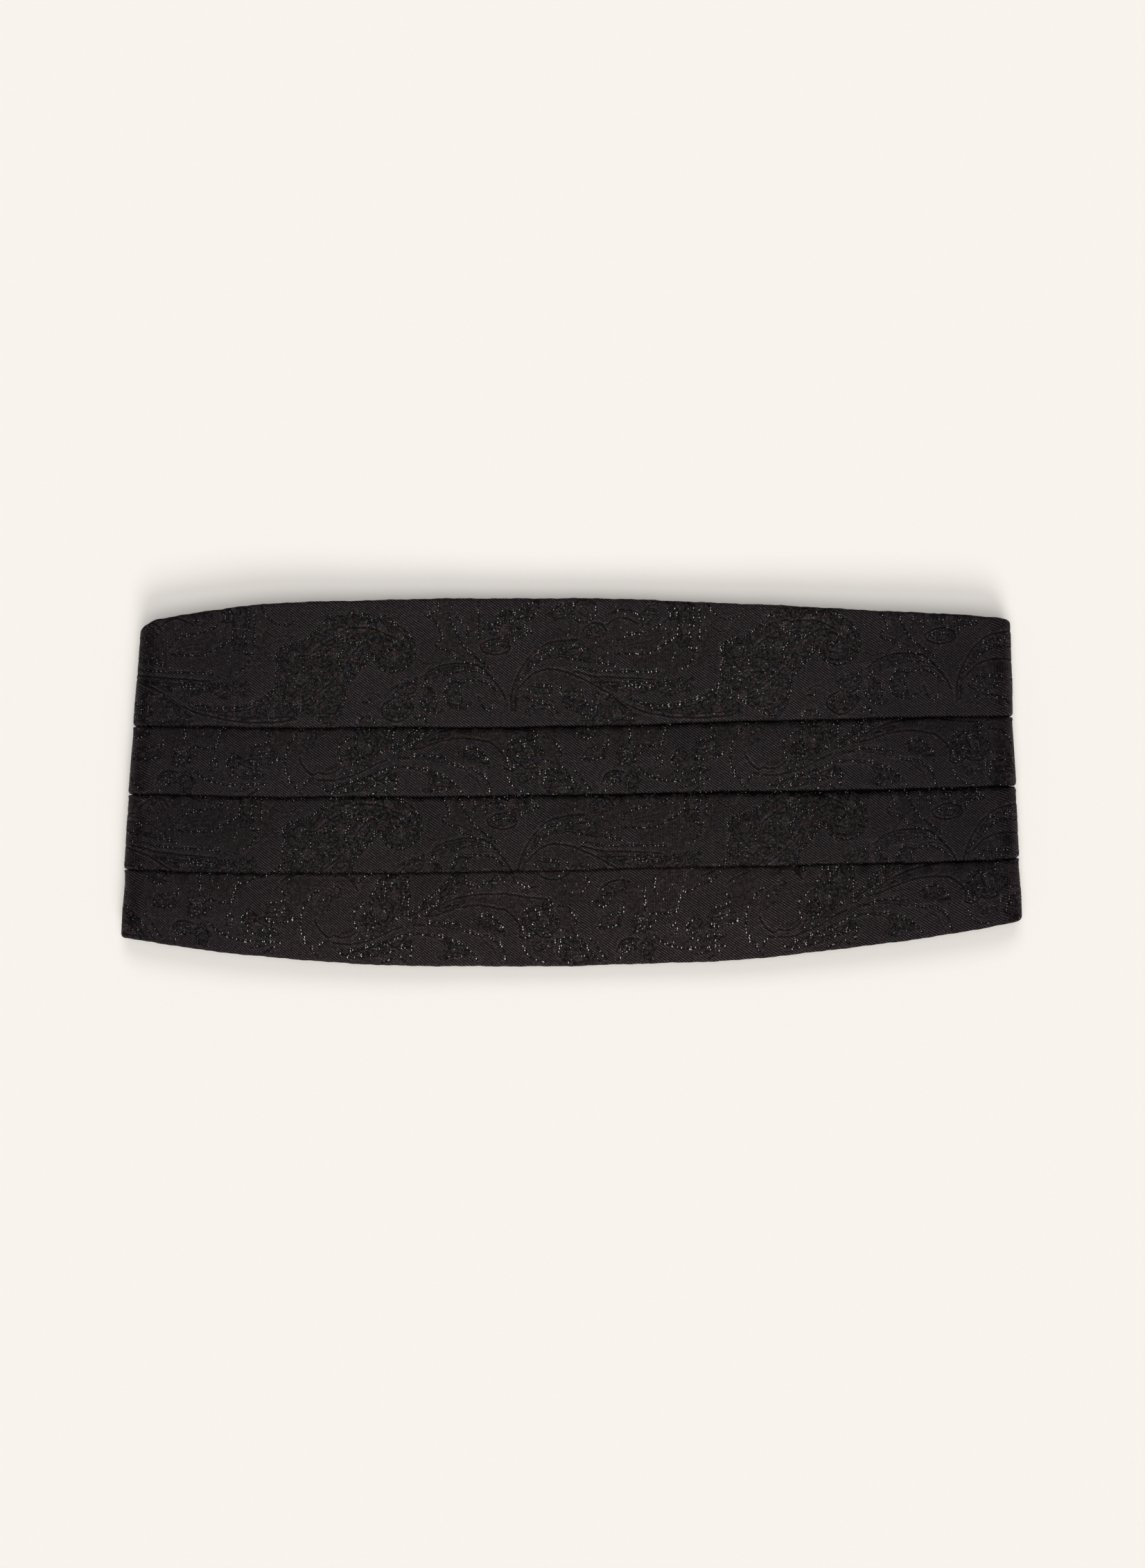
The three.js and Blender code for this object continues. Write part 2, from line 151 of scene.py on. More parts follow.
UPPER_TRAILS = [
    # The tear-shaped head with its spiral
    ("beaded", [(14.5, 26), (15, 22), (17, 19.5), (21, 18.5), (25, 19.8), (27.5, 22.5), (28.5, 26),
                (27.5, 30), (25, 33), (21.5, 35)]),
    ("beaded", [(22, 35), (19, 37.5), (17.5, 38), (15, 37), (12.5, 37), (11.5, 39), (9, 38),
                (6.5, 39.5), (4, 36.5), (3, 38.5), (0, 37)]),
    ("cord", [(0, 30.5), (5, 33.5), (9, 34), (15, 33.3), (20, 31)]),
    ("crease", [(8, 29.5), (15, 30), (20, 29), (24, 26), (24, 22), (21, 20), (17.5, 21.5),
                (18, 24.5), (20, 25)]),
    ("cord", [(0, 15.5), (4, 20), (7, 25), (11, 29), (16, 30.8), (21, 29)]),
    ("beaded", [(14.5, 26), (11.5, 21.5), (9, 19), (6.5, 16), (4.5, 14.5), (4.7, 12), (4.5, 9),
                (3, 5.5), (1, 2), (0, 0.5)]),
    ("beaded", [(17, 24), (18.5, 25.5), (20.5, 26.5), (20.5, 24)]),
    ("beaded", [(2, 31.5), (6, 29), (9, 28), (9.5, 30.5)]),
    ("beaded", [(7.5, 19.5), (10.5, 20.5), (11.5, 23), (13.5, 24)]),
    ("beaded", [(3.5, 20), (1.5, 23), (4, 27)]),
    # Buds on the ground
    ("crease", [(10, 9), (12, 11), (15, 11), (17, 9.5)]),
    ("beaded", [(10.5, 8), (13, 8.2), (13, 9.5)]),
    ("cord", [(21.5, 9.5), (18, 7.5), (17, 5), (18, 3), (22, 1.2), (26, 3), (28, 6), (27, 8)]),
    ("beaded", [(18.2, 5.2), (20.5, 8), (22, 5.8), (23.3, 6)]),
    ("crease", [(18, 1.8), (22, 3), (26, 2.6)]),
    ("beaded", [(20.5, 12.5), (24, 14.5), (28.5, 15.5), (29.5, 17)]),
    ("beaded", [(21, 10.5), (24, 9), (27, 9.5), (29, 11)]),
    ("crease", [(22, 12), (24, 10.5), (26, 12.8), (28, 11.2), (29, 13.5)]),
    ("beaded", [(30, 10), (31, 7), (33, 5), (36, 4.5), (38, 5.5)]),
    ("beaded", [(31, 13), (32.5, 15), (34, 13), (35.5, 11), (36, 7)]),
    ("crease", [(31.5, 11), (33, 9.5), (34.5, 11)]),
    ("crease", [(31.5, 8.8), (33, 7.3), (34.5, 8.8)]),
    ("crease", [(31.8, 6.8), (33, 5.6), (34.2, 6.8)]),
    ("beaded", [(8, 0.5), (10, 2.5), (12.5, 2.8), (15, 0.7)]),
    ("beaded", [(28, 4), (29.5, 2), (31.5, 3.5), (32.5, 1)]),
    ("crease", [(30, 22.5), (33, 21.2), (36, 22), (38, 21.5)]),
    # The arcs and the leaf beside them
    ("cord", [(30.5, 16.5), (34, 19), (38, 21), (44, 21.8), (50, 21), (54, 18), (58, 13), (60, 9)]),
    ("beaded", [(38, 17), (42, 18.5), (47, 19), (52, 18.5), (56, 16.5)]),
    ("crease", [(42, 16.5), (46, 16), (50, 17), (55, 16), (58, 12.5)]),
    ("beaded", [(44, 14.5), (48, 15.8), (53, 15), (57, 12)]),
    ("beaded", [(45, 8), (44, 11), (44, 15), (42, 16), (39.5, 13.5), (38.5, 10)]),
    ("beaded", [(38.8, 9.5), (41, 7), (45, 6), (48, 7.8)]),
    ("beaded", [(50.5, 10), (51.5, 7.5), (53.5, 5.5), (55.5, 6.5)]),
    ("beaded", [(32, 16.2), (33, 14.5)]),
    ("beaded", [(33, 19), (34.5, 20)]),
    # The long serrated leaf
    ("beaded", [(55, 20), (52, 20.5), (47, 22), (43, 23.5), (40, 26), (38, 26.7), (36, 27.5),
                (36, 29), (38, 30.5), (37.3, 33), (36, 35.5), (34, 37.5), (32, 38)]),
    ("beaded", [(32, 38), (34.5, 39), (37, 40.5), (36, 42.5)]),
    ("beaded", [(41.5, 42), (41, 41), (40.5, 37), (42, 34.5), (43, 32), (45, 28.5), (47, 26),
                (50, 23.5), (54, 20.5)]),
    ("crease", [(38, 27.5), (42, 26), (46, 24)]),
    ("beaded", [(50.5, 30), (50.5, 34), (50.5, 38), (50.5, 43)]),
    ("beaded", [(46.5, 30.5), (46.5, 34)]),
    ("beaded", [(43, 38), (45, 36)]),
    # The open flower and the eye-shaped leaf under it
    ("beaded", [(52, 33), (54, 36), (56, 35), (57.5, 38), (60, 40), (63, 39.5), (66, 41),
                (69, 42.5), (71.5, 43), (71, 39.5), (68.5, 37), (66, 35.5), (67.5, 33), (69, 32),
                (65, 31), (62, 29.5), (60.5, 29)]),
    ("crease", [(56, 31.5), (58, 34), (61, 34.5), (63.5, 33), (62, 31), (59, 30.7)]),
    ("beaded", [(57, 32), (59, 36), (63, 37), (66, 38.5)]),
    ("cord", [(51, 28), (55, 30), (59, 30), (61.5, 27.5), (60, 25.5), (56, 24.8), (52, 26),
              (51, 28)]),
    ("beaded", [(53, 27.5), (56, 28.5), (59.5, 27.5)]),
    ("crease", [(53.5, 26.8), (56, 26), (59, 26.6)]),
    # The feather and the ribbed flower
    ("crease", [(75, 36), (78, 38), (81, 38.5), (84, 41)]),
    ("beaded", [(75, 38.5), (78, 41), (82, 42)]),
    ("beaded", [(83, 39), (84.5, 42.5), (88, 43), (91, 41.5), (91, 38), (88.5, 35.5), (85, 36),
                (83, 39)]),
    ("crease", [(85.5, 39), (87, 40.5), (88.7, 39), (87, 37.6), (85.5, 39)]),
    # The fan of strands
    ("cord", [(62, 5), (62, 11), (64, 17), (68, 23.5), (73, 27.5), (79, 29), (85, 29.5)]),
    ("beaded", [(65, 16), (70, 21), (75, 23.5), (82, 23), (88, 22), (93, 21), (98, 20)]),
    ("cord", [(65, 13.5), (69, 17.5), (74, 19.2), (79, 18.7), (84, 17), (90, 14), (96, 10),
              (102, 5.5)]),
    ("cord", [(84, 18.5), (91, 16.5), (98, 16), (105, 15.6), (112, 15)]),
    ("beaded", [(84, 19.8), (91, 18.6), (98, 18), (106, 18), (113, 17.6)]),
    ("crease", [(84, 17), (91, 13.5), (97, 10), (103, 6), (110, 3)]),
    ("beaded", [(102, 9), (108, 7), (114, 6), (120, 6.2), (126, 7.5), (131, 10), (134, 13)]),
    ("crease", [(104, 8), (110, 5.8), (116, 4.6), (122, 5), (128, 6.8), (132, 9)]),
    ("cord", [(102, 6.5), (108, 4), (114, 2.5), (120, 1.5), (128, 1.2), (136, 1.5), (142, 2.5)]),
    ("beaded", [(70, 24.5), (75, 26), (82, 26.5), (88, 26)]),
    # The wavy leaf and the blossoms in the fan's curve
    ("beaded", [(66, 10), (68, 13), (72, 14), (76, 13), (74, 9.5), (70, 8.5), (66, 10)]),
    ("crease", [(67, 11), (69, 10), (71, 11.6), (73, 10.4), (75, 12)]),
    ("beaded", [(79, 13), (79.5, 9), (81, 6), (83, 5), (86, 4)]),
    ("beaded", [(86, 12), (87, 9), (89, 6), (92, 4)]),
    ("crease", [(81.5, 10), (83, 12), (84.5, 10), (83, 8), (81.5, 10)]),
    ("crease", [(68, 3), (71, 5.5), (75, 5), (77, 2)]),
    ("beaded", [(67, 4.5), (70, 7), (75, 6.8), (78.5, 3.5)]),
    ("cord", [(86, 31), (87.5, 33.5), (90, 35), (93, 34.8), (94.5, 33), (95, 32)]),
    ("cord", [(95, 34), (97.5, 36), (100, 36.8), (103, 36), (106, 34.5)]),
    ("beaded", [(96, 38), (100, 39.5), (105, 38.5), (108, 36)]),
    # The next leaf and the stepped stems
    ("beaded", [(98, 27), (100, 29.5), (104, 31), (110, 32.2), (114, 34), (117, 37), (116, 40)]),
    ("crease", [(99, 25.5), (104, 27.5), (110, 28.5), (115, 31)]),
    ("beaded", [(98, 24.5), (104, 24), (110, 24.6), (116, 27.5), (119.5, 30)]),
    ("beaded", [(119.8, 30), (119.8, 37), (118, 42)]),
    ("beaded", [(125.4, 33), (125.4, 41)]),
    ("beaded", [(127.3, 28), (127.3, 34), (127.3, 40)]),
    ("beaded", [(124.3, 31), (124.3, 25), (126.5, 25), (125, 22), (123.5, 20), (121, 18)]),
    ("beaded", [(102, 14.5), (107, 14.2), (112, 13.9), (116, 14.5)]),
    ("beaded", [(102, 13.2), (107, 12.8), (112, 12.5), (116, 13)]),
    ("crease", [(134, 24), (130, 23.5), (127, 21.5), (125, 20)]),
    ("beaded", [(129, 43), (131, 39), (134, 36), (138, 35), (142, 36.5)]),
    ("crease", [(131, 33), (134, 31), (138, 31.5), (141, 33.5)]),
    # The wing of the next head
    ("beaded", [(134.5, 25.5), (138, 28), (142, 28.5), (145, 30), (148, 32.5), (150, 35),
                (152, 36), (154.3, 37)]),
    ("cord", [(146, 24.5), (149, 27), (152, 29.2), (154.3, 30.5)]),
    ("crease", [(130, 19), (133, 17.6), (137, 16.4), (140, 15), (145, 17)]),
    ("beaded", [(144.2, 18), (144.2, 22), (144.2, 26)]),
    ("cord", [(143, 8), (147, 10), (151, 13), (154.3, 15.5)]),
    ("beaded", [(134.5, 25.5), (135.5, 21), (134.6, 17), (136, 12), (139.5, 8), (145, 5),
                (150, 2), (154.3, 0.5)]),
    ("beaded", [(147.5, 14.5), (150, 18), (151, 22), (149.5, 25)]),
]

UPPER_FILLS = [
    ("mottled", [(0, 0.5), (1, 2), (3, 5.5), (4.5, 9), (4.7, 12), (4.5, 14.5), (6.5, 16), (9, 19),
                 (11.5, 21.5), (14.5, 26), (15, 22), (17, 19.5), (21, 18.5), (25, 19.8),
                 (27.5, 22.5), (28.5, 26), (27.5, 30), (25, 33), (22, 35), (19, 37.5), (17.5, 38),
                 (15, 37), (12.5, 37), (11.5, 39), (9, 38), (6.5, 39.5), (4, 36.5), (3, 38.5),
                 (0, 37)]),
    ("rippled", [(0, 3.5), (3, 5.5), (4.4, 9), (4.4, 13.5), (2, 16), (0, 14.5)]),
    ("ribbed", [(6, 31.5), (12, 32.8), (16, 32.2), (20, 30.5), (16, 30.2), (10, 29.5), (6, 28.5)]),
    ("rippled", [(21, 12), (24, 14.2), (28.5, 15.3), (30, 13), (29, 11), (27, 9.8), (24, 9.3),
                 (21, 10.5)]),
    ("mottled", [(30, 10), (31, 13), (32.5, 15), (34, 13), (35.5, 11), (36, 7), (37.5, 5.2),
                 (34, 4.6), (31, 7)]),
    ("ribbed", [(8, 0), (10, 2.4), (12.5, 2.6), (15, 0.5), (15, 0)]),
    ("mottled", [(17.3, 5), (18.4, 7.5), (21.5, 9.2), (26.5, 7.8), (27.6, 6), (25.8, 3.2),
                 (22, 1.5), (18.3, 3.2)]),
    ("satin", [(55, 20), (52, 20.5), (47, 22), (43, 23.5), (40, 26), (38, 26.7), (36, 27.5),
               (36, 29), (38, 30.5), (37.3, 33), (36, 35.5), (34, 37.5), (32, 38), (34.5, 39),
               (37, 40.5), (36, 42.5), (36.5, 46), (41, 46), (41.5, 42), (41, 41), (40.5, 37),
               (42, 34.5), (43, 32), (45, 28.5), (47, 26), (50, 23.5)]),
    ("rippled", [(38.5, 10), (39.5, 13.5), (42, 16), (44, 15), (44, 11), (45, 8), (48, 7.8),
                 (45, 6), (41, 7)]),
    ("rippled", [(31, 16.8), (34, 19), (38, 20.9), (44, 21.6), (50, 20.8), (54, 17.8), (57.5, 13),
                 (55, 16.8), (52, 18.6), (47, 19.1), (42, 18.6), (38, 17.1), (34, 15)]),
    ("ribbed", [(46, 29), (46, 38), (48, 38.5), (50.8, 37.5), (51, 29)]),
    ("mottled", [(52, 33), (54, 36), (56, 35), (57.5, 38), (60, 40), (63, 39.5), (66, 41),
                 (69, 42.5), (71.5, 43), (71, 39.5), (68.5, 37), (66, 35.5), (67.5, 33), (69, 32),
                 (65, 31), (62, 29.5), (60.5, 29), (56, 30.5)]),
    ("rippled", [(51, 28), (55, 30), (59, 30), (61.5, 27.5), (60, 25.5), (56, 24.8), (52, 26)]),
    ("ribbed", [(83.5, 39), (84.5, 42), (88, 42.6), (90.6, 41), (90.6, 38), (88.5, 36), (85, 36.5)]),
    ("rippled", [(62.2, 5), (62.2, 11), (64.2, 17), (68, 23), (73, 27), (79, 28.6), (85, 29.2),
                 (92, 25), (98, 20.2), (93, 21), (88, 22), (82, 23), (75, 23.5), (70, 21), (65, 16),
                 (64.5, 10), (64, 5)]),
    ("rippled", [(66, 10), (68, 13), (72, 14), (76, 13), (74, 9.5), (70, 8.5)]),
    ("ribbed", [(70, 14.8), (71, 17), (74, 18.5), (77, 17.6), (77, 14.5)]),
    ("ribbed", [(79, 13), (80, 17), (84, 16), (86, 13), (84, 12)]),
    ("mottled", [(79, 13), (79.5, 9), (81, 6), (83, 5), (86, 4), (89, 6), (87, 9), (86, 12)]),
    ("mottled", [(84, 17.6), (91, 16), (98, 15.4), (105, 15), (112, 14.5), (116, 13), (110, 11),
                 (103, 9.5), (97, 11.5), (91, 14)]),
    ("mottled", [(102, 8.6), (108, 6.7), (114, 5.7), (120, 5.9), (126, 7.2), (131, 9.8),
                 (134, 12.8), (140, 9), (142, 3), (136, 1.8), (128, 1.5), (120, 1.8), (114, 2.8),
                 (108, 4.3)]),
    ("satin", [(98, 27), (100, 29.5), (104, 31), (110, 32.2), (114, 34), (117, 37), (119.5, 34),
               (119.5, 30), (116, 27.5), (110, 24.6), (104, 24), (98, 24.5)]),
    ("satin", [(95, 34), (97.5, 36), (100, 36.8), (103, 36), (106, 34.5), (108, 36), (105, 38.5),
               (100, 39.5), (96, 38)]),
    ("ribbed", [(119.8, 30), (119.8, 37), (125.4, 37), (125.4, 33), (124.3, 31), (124.3, 25),
                (121, 24)]),
    ("mottled", [(134.5, 25.5), (138, 28), (142, 28.5), (145, 30), (148, 32.5), (150, 35),
                 (154.3, 37), (154.3, 0.5), (150, 2), (145, 5), (139.5, 8), (136, 12), (134.6, 17),
                 (135.5, 21)]),
    ("rippled", [(143, 6), (147, 8.5), (151, 11.5), (154.3, 14.5), (154.3, 3.5), (150, 2.5)]),
    ("satin", [(136.5, 24), (140, 26.5), (143.5, 26.8), (143.5, 18), (138, 17.5)]),
    ("rippled", [(87, 31), (88, 33.3), (90.3, 34.6), (93, 34.3), (94.2, 32.5), (94.5, 30), (90, 29),
                 (87, 29.5)]),
    ("ribbed", [(96, 29), (97, 33), (100, 35.5), (103, 34.8), (103.5, 31.5), (100, 30), (98, 27.5)]),
    ("ribbed", [(89, 22.5), (89, 29), (94.5, 29.5), (97, 26), (96, 21.5)]),
    ("mottled", [(84, 0), (86, 3.8), (89, 6), (90, 10), (93, 11.5), (97, 9.8), (103, 5.5),
                 (106, 3), (106, 0)]),
    ("rippled", [(106, 35), (107, 39), (111, 43), (114, 41), (112, 36), (108, 33)]),
    ("rippled", [(75, 36), (76, 40), (80, 42), (84, 41.5), (83, 38), (79, 36)]),
    ("satin", [(75, 30), (78, 33), (79, 36), (83, 36), (86, 33), (85, 30.5), (80, 29.8)]),
    ("satin", [(93, 37.5), (97, 41), (98, 46), (102, 46), (102, 40), (97, 37)]),
    ("ribbed", [(104, 20), (104, 23.6), (110, 24.3), (116, 27.2), (119.5, 29.5), (121, 24),
                (118, 19.8), (110, 18.8)]),
    ("satin", [(104, 15.8), (104, 18.2), (110, 18.3), (118, 19.5), (121, 22), (124, 20), (118, 16),
               (112, 15.2)]),
    ("mottled", [(112, 9.5), (113, 13), (118, 14.8), (125, 15.5), (125.5, 11), (122, 9.5),
                 (117, 8.8)]),
    ("ribbed", [(126.4, 22), (126, 40), (131, 40), (131, 33), (134, 31), (131, 28), (130, 23.7)]),
    ("mottled", [(118, 24.5), (124, 25.5), (124.2, 31), (125.2, 34), (125.2, 41), (119.8, 41),
                 (119.8, 30)]),
    ("mottled", [(114, 34.5), (117, 37.5), (115.5, 42), (119.4, 42), (119.4, 35)]),
]

LOWER_TRAILS = [
    # The ring over the repeat's edge
    ("cord", [(148.4, 14), (148.4, 12.9), (150.8, 9.5), (153, 8.1), (154.3, 8.6)]),
    ("cord", [(0, 9), (3, 8.3), (6, 9), (8.5, 11)]),
    ("beaded", [(8.5, 12), (7.5, 15), (7.7, 18), (10, 20), (13.5, 21.5), (13.2, 23.5),
                (14.5, 25.3), (15.7, 28), (16.6, 29), (20, 31)]),
    ("cord", [(0, 29), (2, 29.7), (5, 29.3), (7, 27.5), (8.8, 25)]),
    ("crease", [(0, 30.3), (2, 31.8), (5, 31.5), (7.3, 30.3)]),
    ("crease", [(1, 26.2), (3.1, 24.6), (2.4, 22.3), (0.2, 22.1), (0, 23)]),
    ("beaded", [(9, 28), (11, 30), (13.5, 31.5)]),
    # The bud and the berry
    ("beaded", [(26, 30.3), (26.2, 28), (26.1, 26.5), (26.4, 24.3), (26.2, 21.5), (25.5, 19.5),
                (22, 15)]),
    ("beaded", [(20.2, 25), (20.6, 28), (20.2, 30.5)]),
    ("beaded", [(17, 22), (18.5, 25), (17.8, 28)]),
    ("crease", [(22, 18), (23.6, 22), (23.6, 27), (22.6, 31)]),
    ("beaded", [(9.5, 14.5), (11, 17), (13.5, 17), (15, 14.8), (13.5, 12), (11, 12)]),
    ("crease", [(11, 15.5), (12.5, 16), (13.4, 14.5), (12, 13.3), (11, 14.2)]),
    # The plume
    ("beaded", [(25, 17), (27, 18), (30, 20.2), (33, 23.5), (36, 25.3), (39.5, 29), (43, 32.5)]),
    ("beaded", [(26.5, 15.2), (31.5, 17.8), (34, 19.5), (38, 22), (42, 25), (44.3, 26.6),
                (44.2, 28.3)]),
    ("cord", [(33, 17.8), (37, 20.5), (42, 22.8), (47, 24), (52, 24.5), (57, 24.8), (60, 24.8),
              (65, 24), (70, 23.3), (75, 23)]),
    ("cord", [(31, 16.8), (36, 17.5), (41, 19.2), (46, 20.3), (52, 20.6), (57, 19.8), (60, 19),
              (63, 16.5), (65, 13.5), (64.7, 10)]),
    ("beaded", [(28, 13.8), (32, 14), (36, 14.8), (41, 14.5), (44, 13.8), (46, 12), (50, 10.5),
                (54, 10), (56.3, 8.4), (57.3, 7.3), (58.5, 6.2), (59.3, 4.5), (60.3, 1)]),
    ("crease", [(29, 13.5), (35, 13.6), (40, 13), (45, 11.8), (50, 10.3), (53, 8), (55.5, 6),
                (57, 3), (58.3, 0.7)]),
    ("beaded", [(5.5, 4.3), (10, 5), (17, 7.3), (21, 8.8), (24, 9.9), (27, 10.7), (31, 10.6),
                (34.5, 10.3), (38, 9.8), (41.3, 8.8), (44.8, 7), (47, 5.2), (49.3, 3.2),
                (50.4, 0.8)]),
    ("cord", [(0, 6.3), (5, 6), (11.5, 7.6), (15, 9), (20, 11.5), (24, 13)]),
    ("beaded", [(1.5, 3.3), (4, 2.3), (7, 1.8), (12, 2.3), (18, 3.7), (22, 4.9), (27, 6.3),
                (27.8, 5.8), (27, 3.5), (27, 2.2)]),
    ("beaded", [(17, 0.5), (20, 1.6), (23, 2.3), (25, 1)]),
    ("crease", [(33, 10), (36, 9.4), (38, 8), (38.8, 6.5), (38.5, 5), (37.6, 3.4), (36, 2)]),
    ("beaded", [(49, 15.5), (51.5, 16.7), (55, 17.2), (58.2, 14.3), (59.3, 12), (59.3, 10)]),
    ("crease", [(50, 14), (53, 15), (56, 13.5), (58, 11)]),
    ("beaded", [(46.3, 31.7), (46.6, 28.2), (49, 27.6), (50.3, 26.8), (52.3, 28.2), (55.5, 29.5),
                (56.8, 31.3), (59, 33)]),
    ("beaded", [(62, 32.5), (64, 29), (67, 27.5), (70, 27)]),
    # The rising sun and the flower under it
    ("cord", [(71, 31.9), (73, 30.5), (76, 29.7), (79.3, 30.2), (82, 31.9)]),
    ("cord", [(65, 10), (67, 9), (69, 9.5), (70.5, 11), (72, 9.8), (75, 9.7), (76.5, 10)]),
    ("beaded", [(66.8, 19.3), (65.8, 16.7), (65.9, 12.2), (67, 9.6), (70.3, 12), (69, 14.7),
                (71.5, 16), (71.3, 18.6), (68.2, 19.7), (66.8, 19.3)]),
    ("beaded", [(75, 23), (76, 21.5), (75, 18), (77, 17), (78.3, 15.5), (78.3, 13), (80, 12.3),
                (84, 11), (86, 9), (88, 6), (90, 3.5), (92.5, 1)]),
    ("crease", [(69, 8), (70.5, 5), (73.5, 4.5), (76.5, 5)]),
    ("beaded", [(77.2, 7.5), (78.3, 9.3), (79.2, 7), (78.2, 4.5), (79.4, 2.7), (81.7, 0.4)]),
    ("beaded", [(78.3, 20.5), (80.7, 20.2), (81.9, 19.5), (83.3, 17.4), (84.5, 14.6), (83, 12.5)]),
    ("crease", [(71, 13), (73, 15.5), (75.5, 14.6), (76, 12.5)]),
    ("beaded", [(66, 7), (67.5, 3.8), (70, 1.8), (74, 1.2)]),
    # Stems, the hooked bud and the small leaves
    ("beaded", [(87.8, 30.2), (89, 28.5), (87.8, 26.8), (86.6, 25.3)]),
    ("cord", [(92.6, 24.3), (92.8, 25.6), (94, 27.2), (96.5, 28.3), (100, 28.9), (103, 28.3)]),
    ("beaded", [(90, 22.5), (91.5, 20.5), (94, 20), (96.5, 21.8), (98, 24.5), (102, 26)]),
    ("crease", [(92, 14), (94, 16.5), (96.5, 15), (98.5, 17.5)]),
    ("beaded", [(91.5, 13), (94, 12.2), (97, 12.8), (99.5, 13.6)]),
    ("beaded", [(101, 19.6), (100, 16.3), (99.7, 12.7)]),
    ("beaded", [(89.2, 8.7), (90.3, 7.9), (91.5, 6.5), (92.6, 4.7), (93.8, 3.3), (95, 1.9)]),
    ("crease", [(81, 4), (83, 6), (85, 5.2), (84.4, 3.6), (82, 3.4)]),
    ("cord", [(98.5, 4), (100, 7.5), (103, 8.7), (106.5, 8)]),
    ("beaded", [(99, 1.2), (102, 4.5), (105.5, 4.8)]),
    # The tall ribbed leaf
    ("beaded", [(108.3, 18), (108.3, 23), (108.3, 27)]),
    ("beaded", [(111.7, 24), (111.7, 30)]),
    ("beaded", [(110, 16.8), (112, 17.2), (116, 16.8), (119.7, 17.8), (120.5, 21.8), (122, 23.7),
                (125.4, 25), (127.7, 26.8), (130, 27.2), (134, 29.3)]),
    ("beaded", [(110.4, 11.5), (110.4, 13.8), (111.6, 14), (112.8, 15.7)]),
    ("cord", [(128, 29.5), (132, 31), (136, 33)]),
    ("crease", [(113, 28), (117, 30.5), (121, 31), (125, 32.5)]),
    # Leaves to the right of it
    ("beaded", [(111.4, 9.4), (113.7, 7.5), (117, 5.7), (120.5, 4.7), (125, 4.4), (129, 4.6),
                (133, 4.9), (136.3, 5)]),
    ("beaded", [(126, 2.1), (127.4, 2.5), (130.6, 3.4), (133, 4.8)]),
    ("beaded", [(130.4, 0.7), (132.8, 2.5), (134, 3.2)]),
    ("beaded", [(125.3, 15.7), (124.2, 13.9), (122.8, 12), (124.1, 10.6)]),
    ("beaded", [(124, 8), (127.3, 7.3), (130.7, 6.5), (134, 7.2), (136.4, 8.6)]),
    ("crease", [(126, 13), (129, 11.2), (133, 9.6), (136, 9.2)]),
    ("beaded", [(130.5, 13.1), (133, 11.8), (135.3, 11.6), (138, 12.2), (141.2, 13.9)]),
    ("beaded", [(131.5, 17.5), (134, 18.5), (136.6, 19), (138, 20)]),
    ("crease", [(131, 15.3), (134, 15), (137.5, 16), (140, 16.2)]),
    ("beaded", [(136.7, 24), (136.7, 22.7), (138, 21.4)]),
    ("cord", [(136.5, 26), (139, 28), (142, 29), (145, 30)]),
    ("beaded", [(150, 24), (147.5, 22.7), (146.3, 21), (144.8, 19.3), (143.9, 17)]),
    ("beaded", [(143.5, 16.5), (143.5, 10), (144.6, 8), (144.6, 6), (145.7, 5.7), (147, 3.3),
                (149.2, 1)]),
    ("beaded", [(149, 3.4), (151, 6.2), (153, 6.8)]),
    ("crease", [(148, 18), (150, 21.5), (152.5, 23.6), (154.3, 24.2)]),
    ("crease", [(149.5, 17), (151.5, 20.5), (154.3, 22.5)]),
    ("beaded", [(117, 11.5), (119, 13.2), (119.5, 10.3), (117.6, 9.4)]),
    ("crease", [(148, 31.5), (151, 30.6), (154.3, 31.3)]),
]

